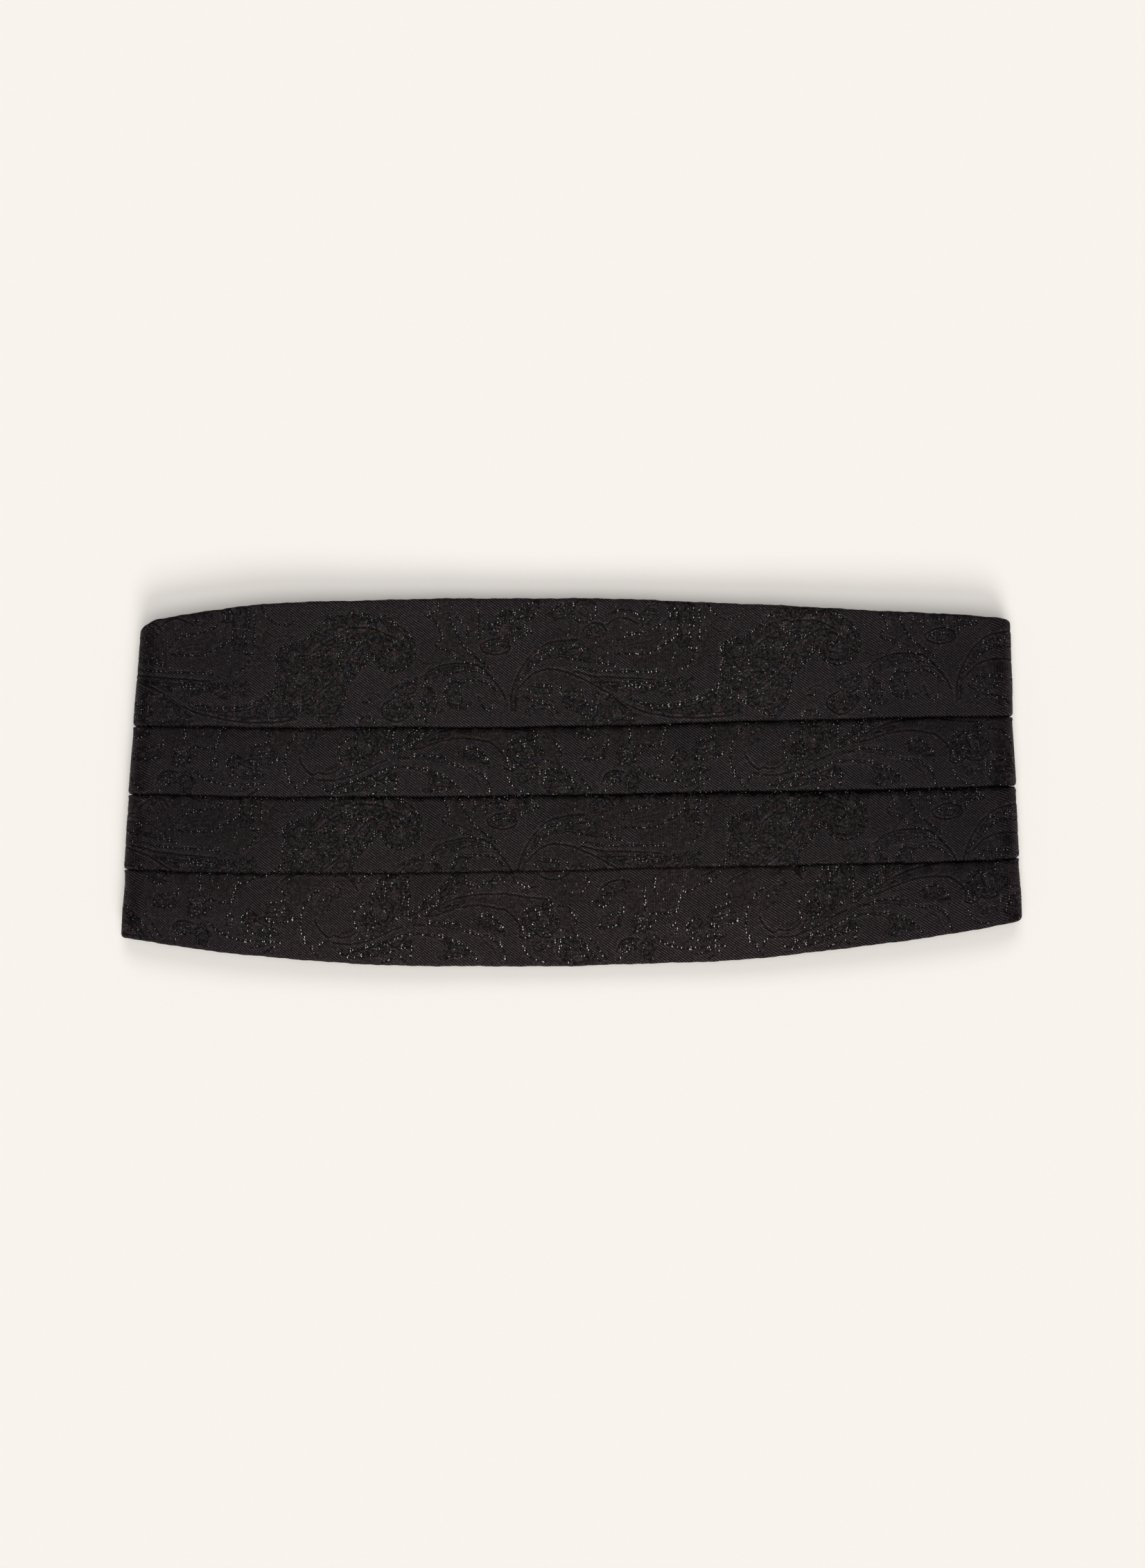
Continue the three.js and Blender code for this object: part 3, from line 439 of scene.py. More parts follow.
LOWER_FILLS = [
    ("rippled", [(0, 22), (3.2, 22.2), (3.6, 25), (1.2, 26.8), (0, 26.4)]),
    ("mottled", [(13, 13), (12.5, 17), (13.2, 23.5), (15.7, 28), (20, 31), (26, 30.3), (26.2, 26.5),
                 (26.4, 24.3), (25.5, 19.5), (22, 15), (17, 12.5)]),
    ("mottled", [(9, 14.5), (11, 17), (13.5, 17), (15, 14.8), (13.5, 12), (11, 12)]),
    ("mottled", [(25, 17), (30, 20.2), (33, 23.5), (36, 25.3), (39.5, 29), (43, 32.5), (46.5, 32),
                 (46.3, 28.2), (44.2, 28.3), (44.3, 26.6), (42, 25), (38, 22), (34, 19.5),
                 (31.5, 17.8), (26.5, 15.2)]),
    ("ribbed", [(46, 23.6), (52, 24.2), (57, 24.5), (60, 24.5), (62, 18), (57, 20), (52, 20.9),
                (46, 20.6)]),
    ("rippled", [(33, 17.6), (37, 20.2), (42, 22.5), (46, 23.5), (46, 20.5), (41, 19.4),
                 (36, 17.7)]),
    ("rippled", [(28, 13.9), (32, 14.1), (36, 14.9), (41, 14.6), (44, 13.9), (46, 12.1),
                 (50, 10.6), (54, 10), (50, 10.2), (45, 11.7), (40, 12.9), (35, 13.5)]),
    ("mottled", [(33, 10), (36, 9.4), (38, 8), (38.8, 6.5), (38.5, 5), (36, 2), (42, 1.5),
                 (48, 3.8), (44.8, 7), (41.3, 8.8), (38, 9.8)]),
    ("mottled", [(49, 15.5), (51.5, 16.7), (55, 17.2), (58.2, 14.3), (59.3, 12), (59.3, 10),
                 (55, 11.5), (51, 13)]),
    ("mottled", [(1.5, 3.3), (7, 1.8), (12, 2.3), (18, 3.7), (22, 4.9), (27, 6.3), (27, 9.8),
                 (21, 8.4), (17, 7), (10, 4.7), (5.5, 4)]),
    ("satin", [(60, 19), (63, 16.5), (65, 13.5), (65.8, 16.7), (66.8, 19.3), (70, 23), (65, 23.8),
               (60, 24.4)]),
    ("ribbed", [(71, 31.9), (73, 30.5), (76, 29.7), (79.3, 30.2), (82, 31.9), (82, 36), (71, 36)]),
    ("mottled", [(66.8, 19.3), (65.8, 16.7), (65.9, 12.2), (67, 9.6), (70.5, 11), (75, 9.7),
                 (78.3, 13), (78.3, 15.5), (75, 18), (76, 21.5), (75, 23), (71.3, 21)]),
    ("rippled", [(69, 8), (70.5, 5), (73.5, 4.5), (76.5, 5), (77.2, 7.5), (75, 9.2), (72, 9)]),
    ("satin", [(78.3, 20.5), (80.7, 20.2), (81.9, 19.5), (83.3, 17.4), (84.5, 14.6), (83, 12.5),
               (80, 12.5), (78.5, 15.5), (76, 18)]),
    ("mottled", [(92.6, 24.3), (92.8, 25.6), (94, 27.2), (96.5, 28.3), (100, 28.9), (103, 28.3),
                 (102, 26), (98, 24.5), (96.5, 21.8), (94, 20), (91.5, 20.5), (90, 22.5)]),
    ("rippled", [(91.5, 13), (94, 17), (98, 18), (101, 19.6), (100, 16.3), (99.7, 12.7),
                 (97, 12.6), (94, 12)]),
    ("mottled", [(98.5, 4), (100, 7.5), (103, 8.7), (106.5, 8), (105.5, 4.8), (102, 3)]),
    ("ribbed", [(110, 16.8), (112, 17.2), (116, 16.8), (119.7, 17.8), (120.5, 21.8), (122, 23.7),
                (125.4, 25), (127.7, 26.8), (130, 27.2), (134, 29.3), (136, 33), (130, 34.5),
                (120, 33.5), (111.7, 31), (111.7, 24), (108.3, 22)]),
    ("satin", [(111.4, 9.4), (113.7, 7.5), (117, 5.7), (120.5, 4.7), (125, 4.4), (129, 4.6),
               (124, 7.5), (122.8, 10), (117, 9)]),
    ("mottled", [(125.3, 15.7), (124.2, 13.9), (122.8, 12), (124.1, 10.6), (124, 8), (127.3, 7.3),
                 (130.7, 6.5), (134, 7.2), (136.4, 8.6), (133, 11.8), (130.5, 13.1)]),
    ("rippled", [(130.5, 13.1), (133, 11.8), (135.3, 11.6), (138, 12.2), (141.2, 13.9), (138, 20),
                 (136.6, 19), (134, 18.5), (131.5, 17.5)]),
    ("satin", [(136.7, 24), (136.7, 22.7), (138, 21.4), (143.9, 17), (146.3, 21), (150, 24),
               (147, 27.5), (142, 28.6), (138, 27)]),
    ("rippled", [(148, 18), (150, 21.5), (152.5, 23.6), (154.3, 24.2), (154.3, 18.5), (151, 16.5)]),
    ("rippled", [(0, 9.2), (3, 8.6), (6, 9.3), (8.5, 11.3), (7.2, 14), (6, 11.8), (3, 10.6),
                 (0, 10.8)]),
    ("rippled", [(0, 28.6), (2, 29.3), (4.8, 28.9), (6.6, 27.2), (8.3, 25), (9.3, 26.5), (7.3, 30),
                 (5, 31.2), (2, 31.5), (0, 30.1)]),
    ("rippled", [(8.5, 11.5), (13, 12.4), (18, 12.4), (24, 13), (20, 11.2), (15, 8.8), (11.5, 7.4),
                 (8, 7.2), (8, 9.5)]),
    ("satin", [(38, 21.6), (42, 22.9), (47, 24.1), (52, 24.7), (50, 26.6), (47, 28), (44.5, 26.4),
               (42, 24.6)]),
    ("rippled", [(59, 33), (56.8, 31), (55.5, 29.3), (53, 28), (56, 26.5), (61, 28.5), (64, 29),
                 (62, 32.5)]),
    ("ribbed", [(71.8, 12), (71.8, 22.6), (74.8, 22.8), (74.8, 18.2), (76, 12)]),
    ("mottled", [(78.5, 0), (80, 5), (78.8, 9.5), (84, 10.6), (86, 8.6), (89.5, 3), (90, 0)]),
    ("mottled", [(104, 10), (104, 16.8), (110, 16.6), (110.4, 11.5), (108, 10)]),
    ("satin", [(100.5, 20), (104, 17.4), (108, 18), (108, 27), (104, 28), (100.5, 24.5)]),
    ("mottled", [(107, 0), (107, 7.8), (111, 8.8), (112.5, 5), (111, 0)]),
    ("satin", [(77, 22), (80, 21), (85, 22), (88, 25), (87, 30), (82, 31.5), (79, 29.8), (76, 29)]),
]

# Where each band of the front takes its pattern from: its strip of the chart, and where its own
# zero lies there, in millimetres; and its share of painted light for how it faces the light
BANDS = [
    {"name": "band_one", "upper": "top", "lower": "pleat_one", "strip": "upper", "at": (82.9, 0.0),
     "lit": 1.0},
    {"name": "band_two", "upper": "pleat_one", "lower": "pleat_two", "strip": "lower",
     "at": (88.2, 1.0), "lit": 0.96},
    {"name": "band_three", "upper": "pleat_two", "lower": "pleat_three", "strip": "upper",
     "at": (80.5, 10.6), "lit": 0.98},
    {"name": "band_four", "upper": "pleat_three", "lower": "bottom", "strip": "lower",
     "at": (82.9, 0.0), "lit": 1.14},
]

# How wide the dark gap below each pleat fold is, along the band, where the panel lies low and its colour
# gets painted shade: places and widths, millimetres
GAPS = {
    "pleat_one": ([-150, -90, -20, 40, 110, 150], [0.7, 0.95, 1.4, 1.4, 1.3, 0.9]),
    "pleat_two": ([-150, -90, -20, 40, 90, 150], [0.8, 1.0, 1.25, 1.7, 2.0, 1.4]),
    "pleat_three": ([-150, -90, -20, 40, 110, 150], [0.75, 0.6, 0.45, 0.4, 0.55, 0.8]),
}

# Places where the cloth is dimmer, or brighter if negative: the place in the photograph, how wide
# and tall in its pixels, and by what share
DIM_SPOTS = [
    (1440, 964, 9, 7, 0.6), (1438, 1073, 7, 13, 0.4), (1438, 1108, 9, 13, 0.5),
    (1455, 1210, 9, 8, 0.6), (1447, 1313, 11, 9, 0.3), (218, 930, 13, 12, 0.35),
    (216, 952, 11, 6, 0.35), (208, 1003, 10, 20, 0.35), (197, 1127, 9, 13, 0.3),
    (190, 1320, 13, 12, 0.35), (1300, 1030, 26, 14, 0.2), (1180, 1160, 30, 16, 0.2),
    (620, 1270, 40, 22, 0.15), (980, 925, 34, 20, 0.15), (1210, 1330, 80, 50, 0.12),
    (1000, 1350, 70, 36, -0.1), (300, 1190, 60, 34, 0.14), (1340, 1090, 50, 30, 0.1),
    (1200, 1190, 60, 34, 0.09), (1190, 1290, 60, 30, 0.08),
]

# Steps of the mesh down the face and along the band, where the pattern shows and behind, and how far
# it is shown from the middle
FACE_STEP = 0.46
ALONG_STEP = 0.55
UNDER_STEP = 2.0
SHOWN_REACH = 160.0
TURN_POINTS = 9

# The chart's grids: their step, how far from a line a distance is kept, and their height and foot
CHART_STEP = 0.2
CHART_REACH = 2.4
CHART_HEIGHT = 50.0
CHART_FOOT = -2.0
LINES = ("cord", "crease", "beaded")
SHAPES = ("satin", "ribbed", "mottled", "rippled")

# The cell field's values on the outlines of its hills and hollows
HILL, HOLLOW = 0.6, -0.75

# Small unevenness of the edges: length, size and share of the edge's own phase
EDGE_WAVES = [(61, 0.10, 1), (23, 0.06, 2), (9.3, 0.055, 3), (4.1, 0.04, 1)]
EDGE_PHASES = {"top": 0.4, "pleat_one": 1.9, "pleat_two": 3.1, "pleat_three": 4.6, "bottom": 5.5}
GAP_WAVES = [(7.7, 0.16, 1.0), (3.3, 0.12, 0.4), (17, 0.12, 2.0)]

# How far the upper left corner drops and the lower ones reach out, how far on either side of its
# edge a gap's painted shade is kept, and how much of a missing layer's thickness the ends make up
CORNER_DROP = 1.3
CORNER_FLARE = 0.9
PAINTED_SHADE_REACH = 2.0
END_SHARE = 0.86

# By how much each end is drawn in: heights on the band and millimetres
END_TRIMS = {
    "left": ([-55, -36, -30, -5, 20, 55], [0.45, 0.7, 0.3, 0.15, 0.45, 0.85]),
    "right": ([-50, -30, -5, 20, 50], [0.15, 0.5, 0.4, 0.55, -0.2]),
}

# How far above a fold the panel under it begins, how high it stands off there, how full it is
# lower down, and how wide the band of painted shade and the painted highlight of the bright rim beside a
# fold are
PANEL_START = 1.2
LIP = 0.95
FIRST_CROWN = 0.25
CROWN = 0.3
RIM_WIDTH = 0.45

# Creases below the third fold: place along the band, width and lean, and how deep they are
PUCKERS = [(place, 1.1 + 0.5 * math.sin(place), 0.35 * math.sin(1.7 * place))
           for place in (-132, -121, -113, -97, -64, 47, 60, 71, 79, 92, 101, 114, 122, 133, 141)]
PUCKER_DEPTH = 0.55

# How deep the woven pattern presses into the cloth or swells out of it, and over what distance
CORD_GROOVE = (0.16, 0.5)
BEADED_GROOVE = (0.08, 0.4)
MOTTLED_SWELL = 0.07
RIPPLED_SWELL = 0.05

# Straps and clasp, as the frame has them, in millimetres
STRAP_WIDTH = 26.0
STRAP_THICKNESS = 1.5
STRAP_OVERLAP = 18.0
STRAP_DROP = 14.0
STRAP_TURNBACK = 12.0
SEAT_GAP = 0.3
BAR_WIDTH = 3.0
CLASP_THICKNESS = 2.0
CLASP_WINDOW = 5.0

# Stitches: how far apart they are, and how many are tried in the shapes and on the cells
BEAD_STEP = 1.02
SPECKS = 1700
CELL_STITCHES = 2500
DIMMEST_STITCH = 0.08
SECOND_STITCH_SHARE = 0.22
SECOND_STITCH_UP = 0.85
TUFT_SIZE = 1.15

# Where the stitches catch the light, as painted glints: the band, the place and reach along it in
# millimetres, and how much more of their painted brightness than the usual share they show there
GLINT = 0.75
GLINTS = [
    ("band_one", 34, 30, 0.2), ("band_one", -100, 30, -0.15), ("band_two", -25, 36, 0.15),
    ("band_three", 80, 40, -0.1), ("band_four", 40, 40, 0.5), ("band_four", -96, 26, 0.35),
    ("band_four", -20, 34, 0.3),
]

# Threads: how far apart the lines of each weave are in millimetres, and their colours
TWILL_LEAN = math.radians(37)
TWILL_PITCH = 0.745
SATIN_PITCH = 0.5
RIB_PITCH = 0.59
GROUND_THREAD = (0.0213, 0.0157, 0.0177, 1)
BROWN_THREAD = (0.0226, 0.0161, 0.0147, 1)
WARM_THREAD = (0.0280, 0.0150, 0.0152, 1)
COOL_THREAD = (0.0146, 0.0157, 0.0186, 1)
OLIVE_THREAD = (0.0206, 0.0180, 0.0116, 1)
END_THREAD = (0.0224, 0.0151, 0.0184, 1)
# Black mixed into the fold gaps as painted shade and into the dark outlines
SHADE_AND_OUTLINE_BLACK = (0.0022, 0.0018, 0.0019, 1)
DULL_SILVER = (0.07, 0.066, 0.064, 1)
GLINT_SILVER = (0.8, 0.79, 0.77, 1)
WEBBING_DARK = (0.013, 0.0125, 0.013, 1)
WEBBING_PALE = (0.02, 0.019, 0.02, 1)
ENAMEL_DARK = (0.05, 0.05, 0.053, 1)
ENAMEL_PALE = (0.085, 0.085, 0.09, 1)
BUMP_DEPTH = 0.0001

# Light: where each sun stands (degrees round from -Y towards +X, degrees up), how broad it is in
# degrees, and how strong
SUNS = [
    ("key", 10, 45, 28, 1.20),
    ("fill", 180, 58, 28, 0.68),
    ("overhead", 0, 82, 40, 1.50),
]
AMBIENT = 0.08
FLOOR_SIZE = 6.0
FLOOR_DIM = (0.926, 0.883, 0.832, 1)
FLOOR_LIT = (0.946, 0.903, 0.852, 1)
CAMERA_LENS = 100.0
CAMERA_SENSOR = 36.0
FRONT_TOP = 14.0


def curve_through(points, step):
    """Points about a step apart on a smooth curve through the given ones."""
    given = np.array(points, dtype=float)
    padded = np.vstack([2 * given[0] - given[1], given, 2 * given[-1] - given[-2]])
    pieces = []
    for i in range(1, len(padded) - 2):
        a, b, c, d = padded[i - 1:i + 3]
        count = max(2, int(np.hypot(*(c - b)) / step) + 1)
        t = np.linspace(0, 1, count, endpoint=False)[:, None]
        pieces.append(0.5 * (
            2 * b + (c - a) * t + (2 * a - 5 * b + 4 * c - d) * t**2 + (3 * b - a - 3 * c + d) * t**3
        ))
    pieces.append(given[-1:])
    return np.vstack(pieces)


class Chart:
    """The repeat as grids of millimetres from its lines and its filled shapes."""

    def __init__(self, trails, fills):
        self.columns = int(TILE / CHART_STEP) + 1
        self.rows = int(CHART_HEIGHT / CHART_STEP) + 1
        self.fields = {kind: self.lines(trails, kind) for kind in LINES}
        for kind in SHAPES:
            self.fields[kind] = self.shapes(fills, kind)

    def near(self, points, field):
        """Lowers a grid of distances to that from a run of points, round the repeat's ends."""
        window = int(CHART_REACH / CHART_STEP) + 1
        reach = np.arange(-window, window + 1)
        for u, v in points:
            column = int(round(u / CHART_STEP))
            row = int(round((v - CHART_FOOT) / CHART_STEP))
            rows = row + reach
            rows = rows[(rows >= 0) & (rows < self.rows)]
            if len(rows) == 0:
                continue
            columns = column + reach
            away_u = columns * CHART_STEP - u
            away_v = rows * CHART_STEP + CHART_FOOT - v
            distance = np.sqrt(away_u[None, :] ** 2 + away_v[:, None] ** 2)
            place = np.ix_(rows, columns % self.columns)
            field[place] = np.minimum(field[place], distance)

    def lines(self, trails, kind):
        """Millimetres from the lines of a kind."""
        field = np.full((self.rows, self.columns), CHART_REACH)
        for which, points in trails:
            if which == kind:
                self.near(curve_through(points, CHART_STEP), field)
        return field

    def shapes(self, fills, kind):
        """Millimetres inside the shapes of a kind, negative outside them."""
        u = np.arange(self.columns)[None, :] * CHART_STEP
        v = np.arange(self.rows)[:, None] * CHART_STEP + CHART_FOOT
        inside = np.zeros((self.rows, self.columns), dtype=bool)
        edge = np.full((self.rows, self.columns), CHART_REACH)
        for which, points in fills:
            if which != kind:
                continue
            outline = curve_through(list(points) + [points[0]], CHART_STEP)
            drawn = (outline[:, 0] > 0.1) & (outline[:, 0] < TILE - 0.1)
            shape = np.zeros_like(inside)
            for (u0, v0), (u1, v1) in zip(outline[:-1], outline[1:]):
                if v0 == v1:
                    continue
                crossed = (v0 > v) != (v1 > v)
                shape ^= crossed & (u < u0 + (v - v0) * (u1 - u0) / (v1 - v0))
            inside |= shape
            self.near(outline[drawn], edge)
        return np.where(inside, edge, -edge)

    def read(self, kind, u, v):
        """A grid's value at places on the cloth."""
        column = (u % TILE) / CHART_STEP
        row = np.clip((v - CHART_FOOT) / CHART_STEP, 0, self.rows - 1.001)
        c0 = np.floor(column).astype(int)
        r0 = np.floor(row).astype(int)
        c = column - c0
        r = row - r0
        c0 = c0 % self.columns
        c1 = (c0 + 1) % self.columns
        field = self.fields[kind]
        low = field[r0, c0] * (1 - c) + field[r0, c1] * c
        high = field[r0 + 1, c0] * (1 - c) + field[r0 + 1, c1] * c
        return low * (1 - r) + high * r


def cells(u, v):
    """A field that has small rounded cells round its hills and hollows, and repeats with the
    pattern."""
    turn = 2 * math.pi / TILE
    across = np.sin(22 * turn * u + 1.4 * np.sin(0.33 * v))
    return across + np.sin(0.8 * v + 1.3 * np.sin(9 * turn * u))


CHARTS = {
    "upper": Chart(UPPER_TRAILS, UPPER_FILLS),
    "lower": Chart(LOWER_TRAILS, LOWER_FILLS),
}
TRAILS = {"upper": UPPER_TRAILS, "lower": LOWER_TRAILS}


def half_turn(height, depth, start, direction):
    """Rows of a half turn between two layers, about a line of centres along the band."""
    angle = start + direction * np.linspace(0, math.pi, TURN_POINTS)
    height = np.asarray(height)[:, None] + TURN * np.cos(angle)
    depth = np.asarray(depth)[:, None] + TURN * np.sin(angle)
    return np.stack([height, np.broadcast_to(depth, height.shape)], axis=-1)


def straight(start, end, count):
    """Rows from one (height, depth) to another, without the last."""
    t = np.linspace(0, 1, count, endpoint=False)[None, :]
    height = start[0][:, None] * (1 - t) + end[0][:, None] * t
    depth = start[1] * (1 - t) + end[1] * t
    return np.stack([height, np.broadcast_to(depth, height.shape)], axis=-1)


def edge_line(column, along):
    """A fold or an outer edge of the front with its small unevenness."""
    waves = [(length, size, share * EDGE_PHASES[column]) for length, size, share in EDGE_WAVES]
    line = outline_at(column, along) + sway(along, waves)
    if column == "top":
        line = line - CORNER_DROP * smooth(146, 153, -along)
    if column == "bottom":
        line = line - CORNER_FLARE * smooth(148, 153, np.abs(along))
    return line


def band_section(band, along):
    """The middle line of one band across the cloth: rows of (height, depth) for each place along
    it, the height of the band's lower fold, how far each row lies inside the gap over it in
    millimetres, which sets the gap's painted shade, and how many rows are hidden before the panel and in
    it."""
    top = outline_at("top", along)
    bottom = outline_at("bottom", along)
    shrink = (top - bottom) / FRONT_HEIGHT
    depth = PLEAT_DEPTH * shrink
    hem = HEM_DEPTH * shrink
    upper = edge_line(band["upper"], along)
    lower = edge_line(band["lower"], along)
    first = band["upper"] == "top"
    last = band["lower"] == "bottom"
    gap = np.zeros_like(along) if first else np.interp(along, *GAPS[band["upper"]])
    if not first:
        gap = gap * (1 + sway(along, GAP_WAVES))

    # From the hidden start to where the panel begins
    if first:
        rows = [
            straight((top - hem, INNER), (upper - TURN, INNER), 5),
            half_turn(upper - TURN, np.full_like(along, INNER + TURN), -math.pi / 2, 1),
        ]
        start = upper - TURN
    else:
        rows = [
            half_turn(upper + depth - TURN, np.full_like(along, INNER + TURN), math.pi / 2, -1),
            straight((upper + depth - TURN - 0.3, INNER), (upper + PANEL_START, INNER), 4),
        ]
        start = upper + PANEL_START
    hidden = sum(part.shape[1] for part in rows)

    # The panel that shows, down to its fold
    end = lower + TURN
    longest = float(np.max(start - end))
    count = int(longest / FACE_STEP) + 1
    t = np.linspace(0, 1, count, endpoint=False)[None, :]
    if first:
        t = t + (t[:, 1:2] - t[:, 0:1]) * 0.8 * (1 - t)
    height = start[:, None] * (1 - t) + end[:, None] * t
    down = upper[:, None] - height
    shown = (upper - lower)[:, None]
    flat = np.minimum(depth + TURN, 0.6 * (upper - lower))[:, None]
    if first:
        level = MIDDLE + (OUTER - MIDDLE) * smooth(hem[:, None], shown - flat, down)
        crown = FIRST_CROWN * smooth(0, 3, down)
        dark = np.full_like(height, -PAINTED_SHADE_REACH)
    else:
        rise = np.clip((down - gap[:, None]) / (shown - flat - gap[:, None]), 0, 1)
        lip = LIP * smooth(gap[:, None] - 0.1, gap[:, None] + 1.1, down)
        level = INNER + lip + (OUTER - INNER - LIP) * rise
        crown = CROWN * smooth(2, 6, down)
        dark = np.clip(gap[:, None] - down, -PAINTED_SHADE_REACH, PAINTED_SHADE_REACH)
    crown = crown * smooth(0, 3, height - end[:, None]) * smooth(146, 134, np.abs(along))[:, None]
    billow = sway(along[:, None] + 0.6 * height, [(38, 0.35, 0.3), (21, 0.25, height[0, 0])])
    billow = billow + sway(height - 0.25 * along[:, None], [(15, 0.3, 1.1)])
    level = level + crown * (0.6 + billow)
    if band["upper"] == "pleat_three":
        level = level + puckers(along, down)
    rows.append(np.stack([height, level], axis=-1))

    # The fold at its lower edge and the hidden way back
    back = INNER if last else MIDDLE
    back_end = bottom + hem if last else lower + depth - TURN - 0.4
    if last:
        settle = smooth(0, 1, 1 - (height - lower[:, None]) / (hem[:, None] + 3))
        rows[-1][:, :, 1] -= (OUTER - MIDDLE) * settle
    rows.append(half_turn(lower + TURN, np.full_like(along, back + TURN), math.pi / 2, 1))
    rows.append(straight((lower + TURN + 0.3, back), (back_end, back), 6))
    line = np.concatenate(rows, axis=1)
    # Painted shade: how far each row lies inside the gap under the fold above, for darkening its colour
    # there
    painted_fold_shade = np.full(line.shape[:2], -PAINTED_SHADE_REACH)
    painted_fold_shade[:, hidden:hidden + count] = dark
    if not first:
        painted_fold_shade[:, :hidden] = PAINTED_SHADE_REACH
    painted_fold_shade[:, hidden + count + TURN_POINTS // 2 + 2:] = PAINTED_SHADE_REACH
    return line, lower, painted_fold_shade, hidden, count


def end_fill(line, hidden, count, upper, first, ring, along):
    """How much further out a ring's points lie round the end folds, so that the ends are straight
    although fewer layers lie at some heights than at others."""
    fill = np.zeros(ring.shape[:2])
    for i, rows in enumerate(line[:, hidden:hidden + count]):
        level = np.interp(ring[i, :, 0], rows[::-1, 0], rows[::-1, 1])
        fill[i] = END_SHARE * np.clip(OUTER - level, 0, None)
    if not first:
        fill *= smooth(0.5, 1.0, upper[:, None] - ring[..., 0])
    left, right = (np.interp(ring[..., 0], *END_TRIMS[side]) for side in ("left", "right"))
    return fill - np.where(along[:, None] < 0, left, right)


def puckers(along, down):
    """Small creases that run down from the third fold, where the cloth is caught."""
    depth = np.zeros_like(down)
    for place, size, lean in PUCKERS:
        across = along[:, None] - place + lean * down
        depth -= PUCKER_DEPTH * np.exp(-(across / size) ** 2) * smooth(5.5, 0.8, down)
    return depth


def places_along():
    """Places along the band, closer together where the pattern shows."""
    under = np.arange(SHOWN_REACH, FRONT_LENGTH / 2, UNDER_STEP)
    face = np.arange(-SHOWN_REACH, SHOWN_REACH, ALONG_STEP)
    return np.concatenate([-under[::-1], face[1:], under[1:], [FRONT_LENGTH / 2]])


def offset_faces(line, thickness):
    """The outer and inner face beside a middle line."""
    ahead = np.roll(line, -1, axis=1)
    ahead[:, -1] = line[:, -1]
    behind = np.roll(line, 1, axis=1)
    behind[:, 0] = line[:, 0]
    along = ahead - behind
    along = along / np.maximum(np.linalg.norm(along, axis=-1, keepdims=True), 1e-9)
    normal = np.stack([along[..., 1], -along[..., 0]], axis=-1) * thickness / 2
    return line + normal, line - normal


def tube_mesh(name, rings):
    """A closed mesh through rings of points (ring, point, xyz) in millimetres, its ends filled."""
    count, size = rings.shape[:2]
    index = np.arange(count * size).reshape(count, size)
    here, there = index[:-1], index[1:]
    quads = np.stack(
        [here, np.roll(here, -1, axis=1), np.roll(there, -1, axis=1), there], axis=-1
    ).reshape(-1, 4)
    corners = np.concatenate([quads.ravel(), index[0][::-1], index[-1]])
    starts = np.append(4 * np.arange(len(quads)), [4 * len(quads), 4 * len(quads) + size])
    mesh = bpy.data.meshes.new(name)
    mesh.vertices.add(count * size)
    mesh.vertices.foreach_set("co", (rings * MM).astype(np.float32).ravel())
    mesh.loops.add(len(corners))
    mesh.loops.foreach_set("vertex_index", corners.astype(np.int32))
    mesh.polygons.add(len(starts))
    mesh.polygons.foreach_set("loop_start", starts.astype(np.int32))
    mesh.update(calc_edges=True)
    mesh.validate()
    mesh.shade_smooth()
    piece = bpy.data.objects.new(name, mesh)
    bpy.context.scene.collection.objects.link(piece)
    return piece


def keep(piece, name, values):
    """Stores a value for each vertex of a piece."""
    kind = "FLOAT_VECTOR" if values.shape[-1] == 3 and values.ndim > 1 else "FLOAT"
    store = piece.data.attributes.new(name, kind, "POINT")
    store.data.foreach_set("vector" if kind == "FLOAT_VECTOR" else "value",
                           values.astype(np.float32).ravel())


def shift_of_frame():
    """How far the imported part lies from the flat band's own middle, in millimetres."""
    low, high = (np.array(corner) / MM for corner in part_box("clasp"))
    middle = (low + high) / 2
    place, _ = back_line(np.array([0.5]))
    return np.array([middle[0] - place[0, 0], middle[1] - place[0, 1], 0.0])


def pressed_relief(press, along):
    """How far the woven pattern presses into the face, in millimetres, on the shown length."""
    cord_depth, cord_width = CORD_GROOVE
    beaded_depth, beaded_width = BEADED_GROOVE
    pressed = (
        cord_depth * np.exp(-(press["cord"] / cord_width) ** 2)
        + beaded_depth * np.exp(-(press["beaded"] / beaded_width) ** 2)
        - MOTTLED_SWELL * smooth(-0.3, 0.6, press["mottled"])
        - RIPPLED_SWELL * smooth(-0.3, 0.6, press["rippled"])
    )
    return pressed * smooth(160, 154, np.abs(along))[:, None]


def painted_light_share(band, rings, heights, along, from_edge):
    """How bright each place of a band's colour is painted beside the usual: the band's own share of
    painted light for how it faces the light, painted shade towards the ends, dimmer in the dim spots,
    a painted highlight on its lower fold, painted light where it turns under at the ends, and painted
    shade in the creases below the third fold."""
    out = np.abs(rings[..., 0]) / FOLD_LINE[0]
    # The band's share of painted light, with painted shade towards the ends
    lit = band["lit"] * (1 - 0.34 * smooth(0.45, 1.05, out))
    # Painted highlight along the lower fold
    lit = lit * (1 + 0.4 * np.exp(-(from_edge / RIM_WIDTH) ** 2))
    # Painted light where the band turns under at the ends
    lit = lit * (1 + 0.4 * smooth(147, 151.5, np.abs(along)))[:, None]
    for x, y, wide, tall, share in DIM_SPOTS:
        away = ((rings[..., 0] / PIXEL + OBJECT_PIXEL[0] - x) / wide) ** 2
        away = away + ((OBJECT_PIXEL[1] - rings[..., 1] / PIXEL - y) / tall) ** 2
        lit = lit * (1 - share * np.exp(-away))
    # Painted shade in the creases below the third fold and along it
    if band["upper"] == "pleat_three":
        down = edge_line("pleat_three", along)[:, None] - heights
        lit = lit * (1 + 0.9 * puckers(along, down))
        lit = lit * (1 - 0.35 * smooth(5, 1, down) * smooth(38, 60, along)[:, None])
    return lit


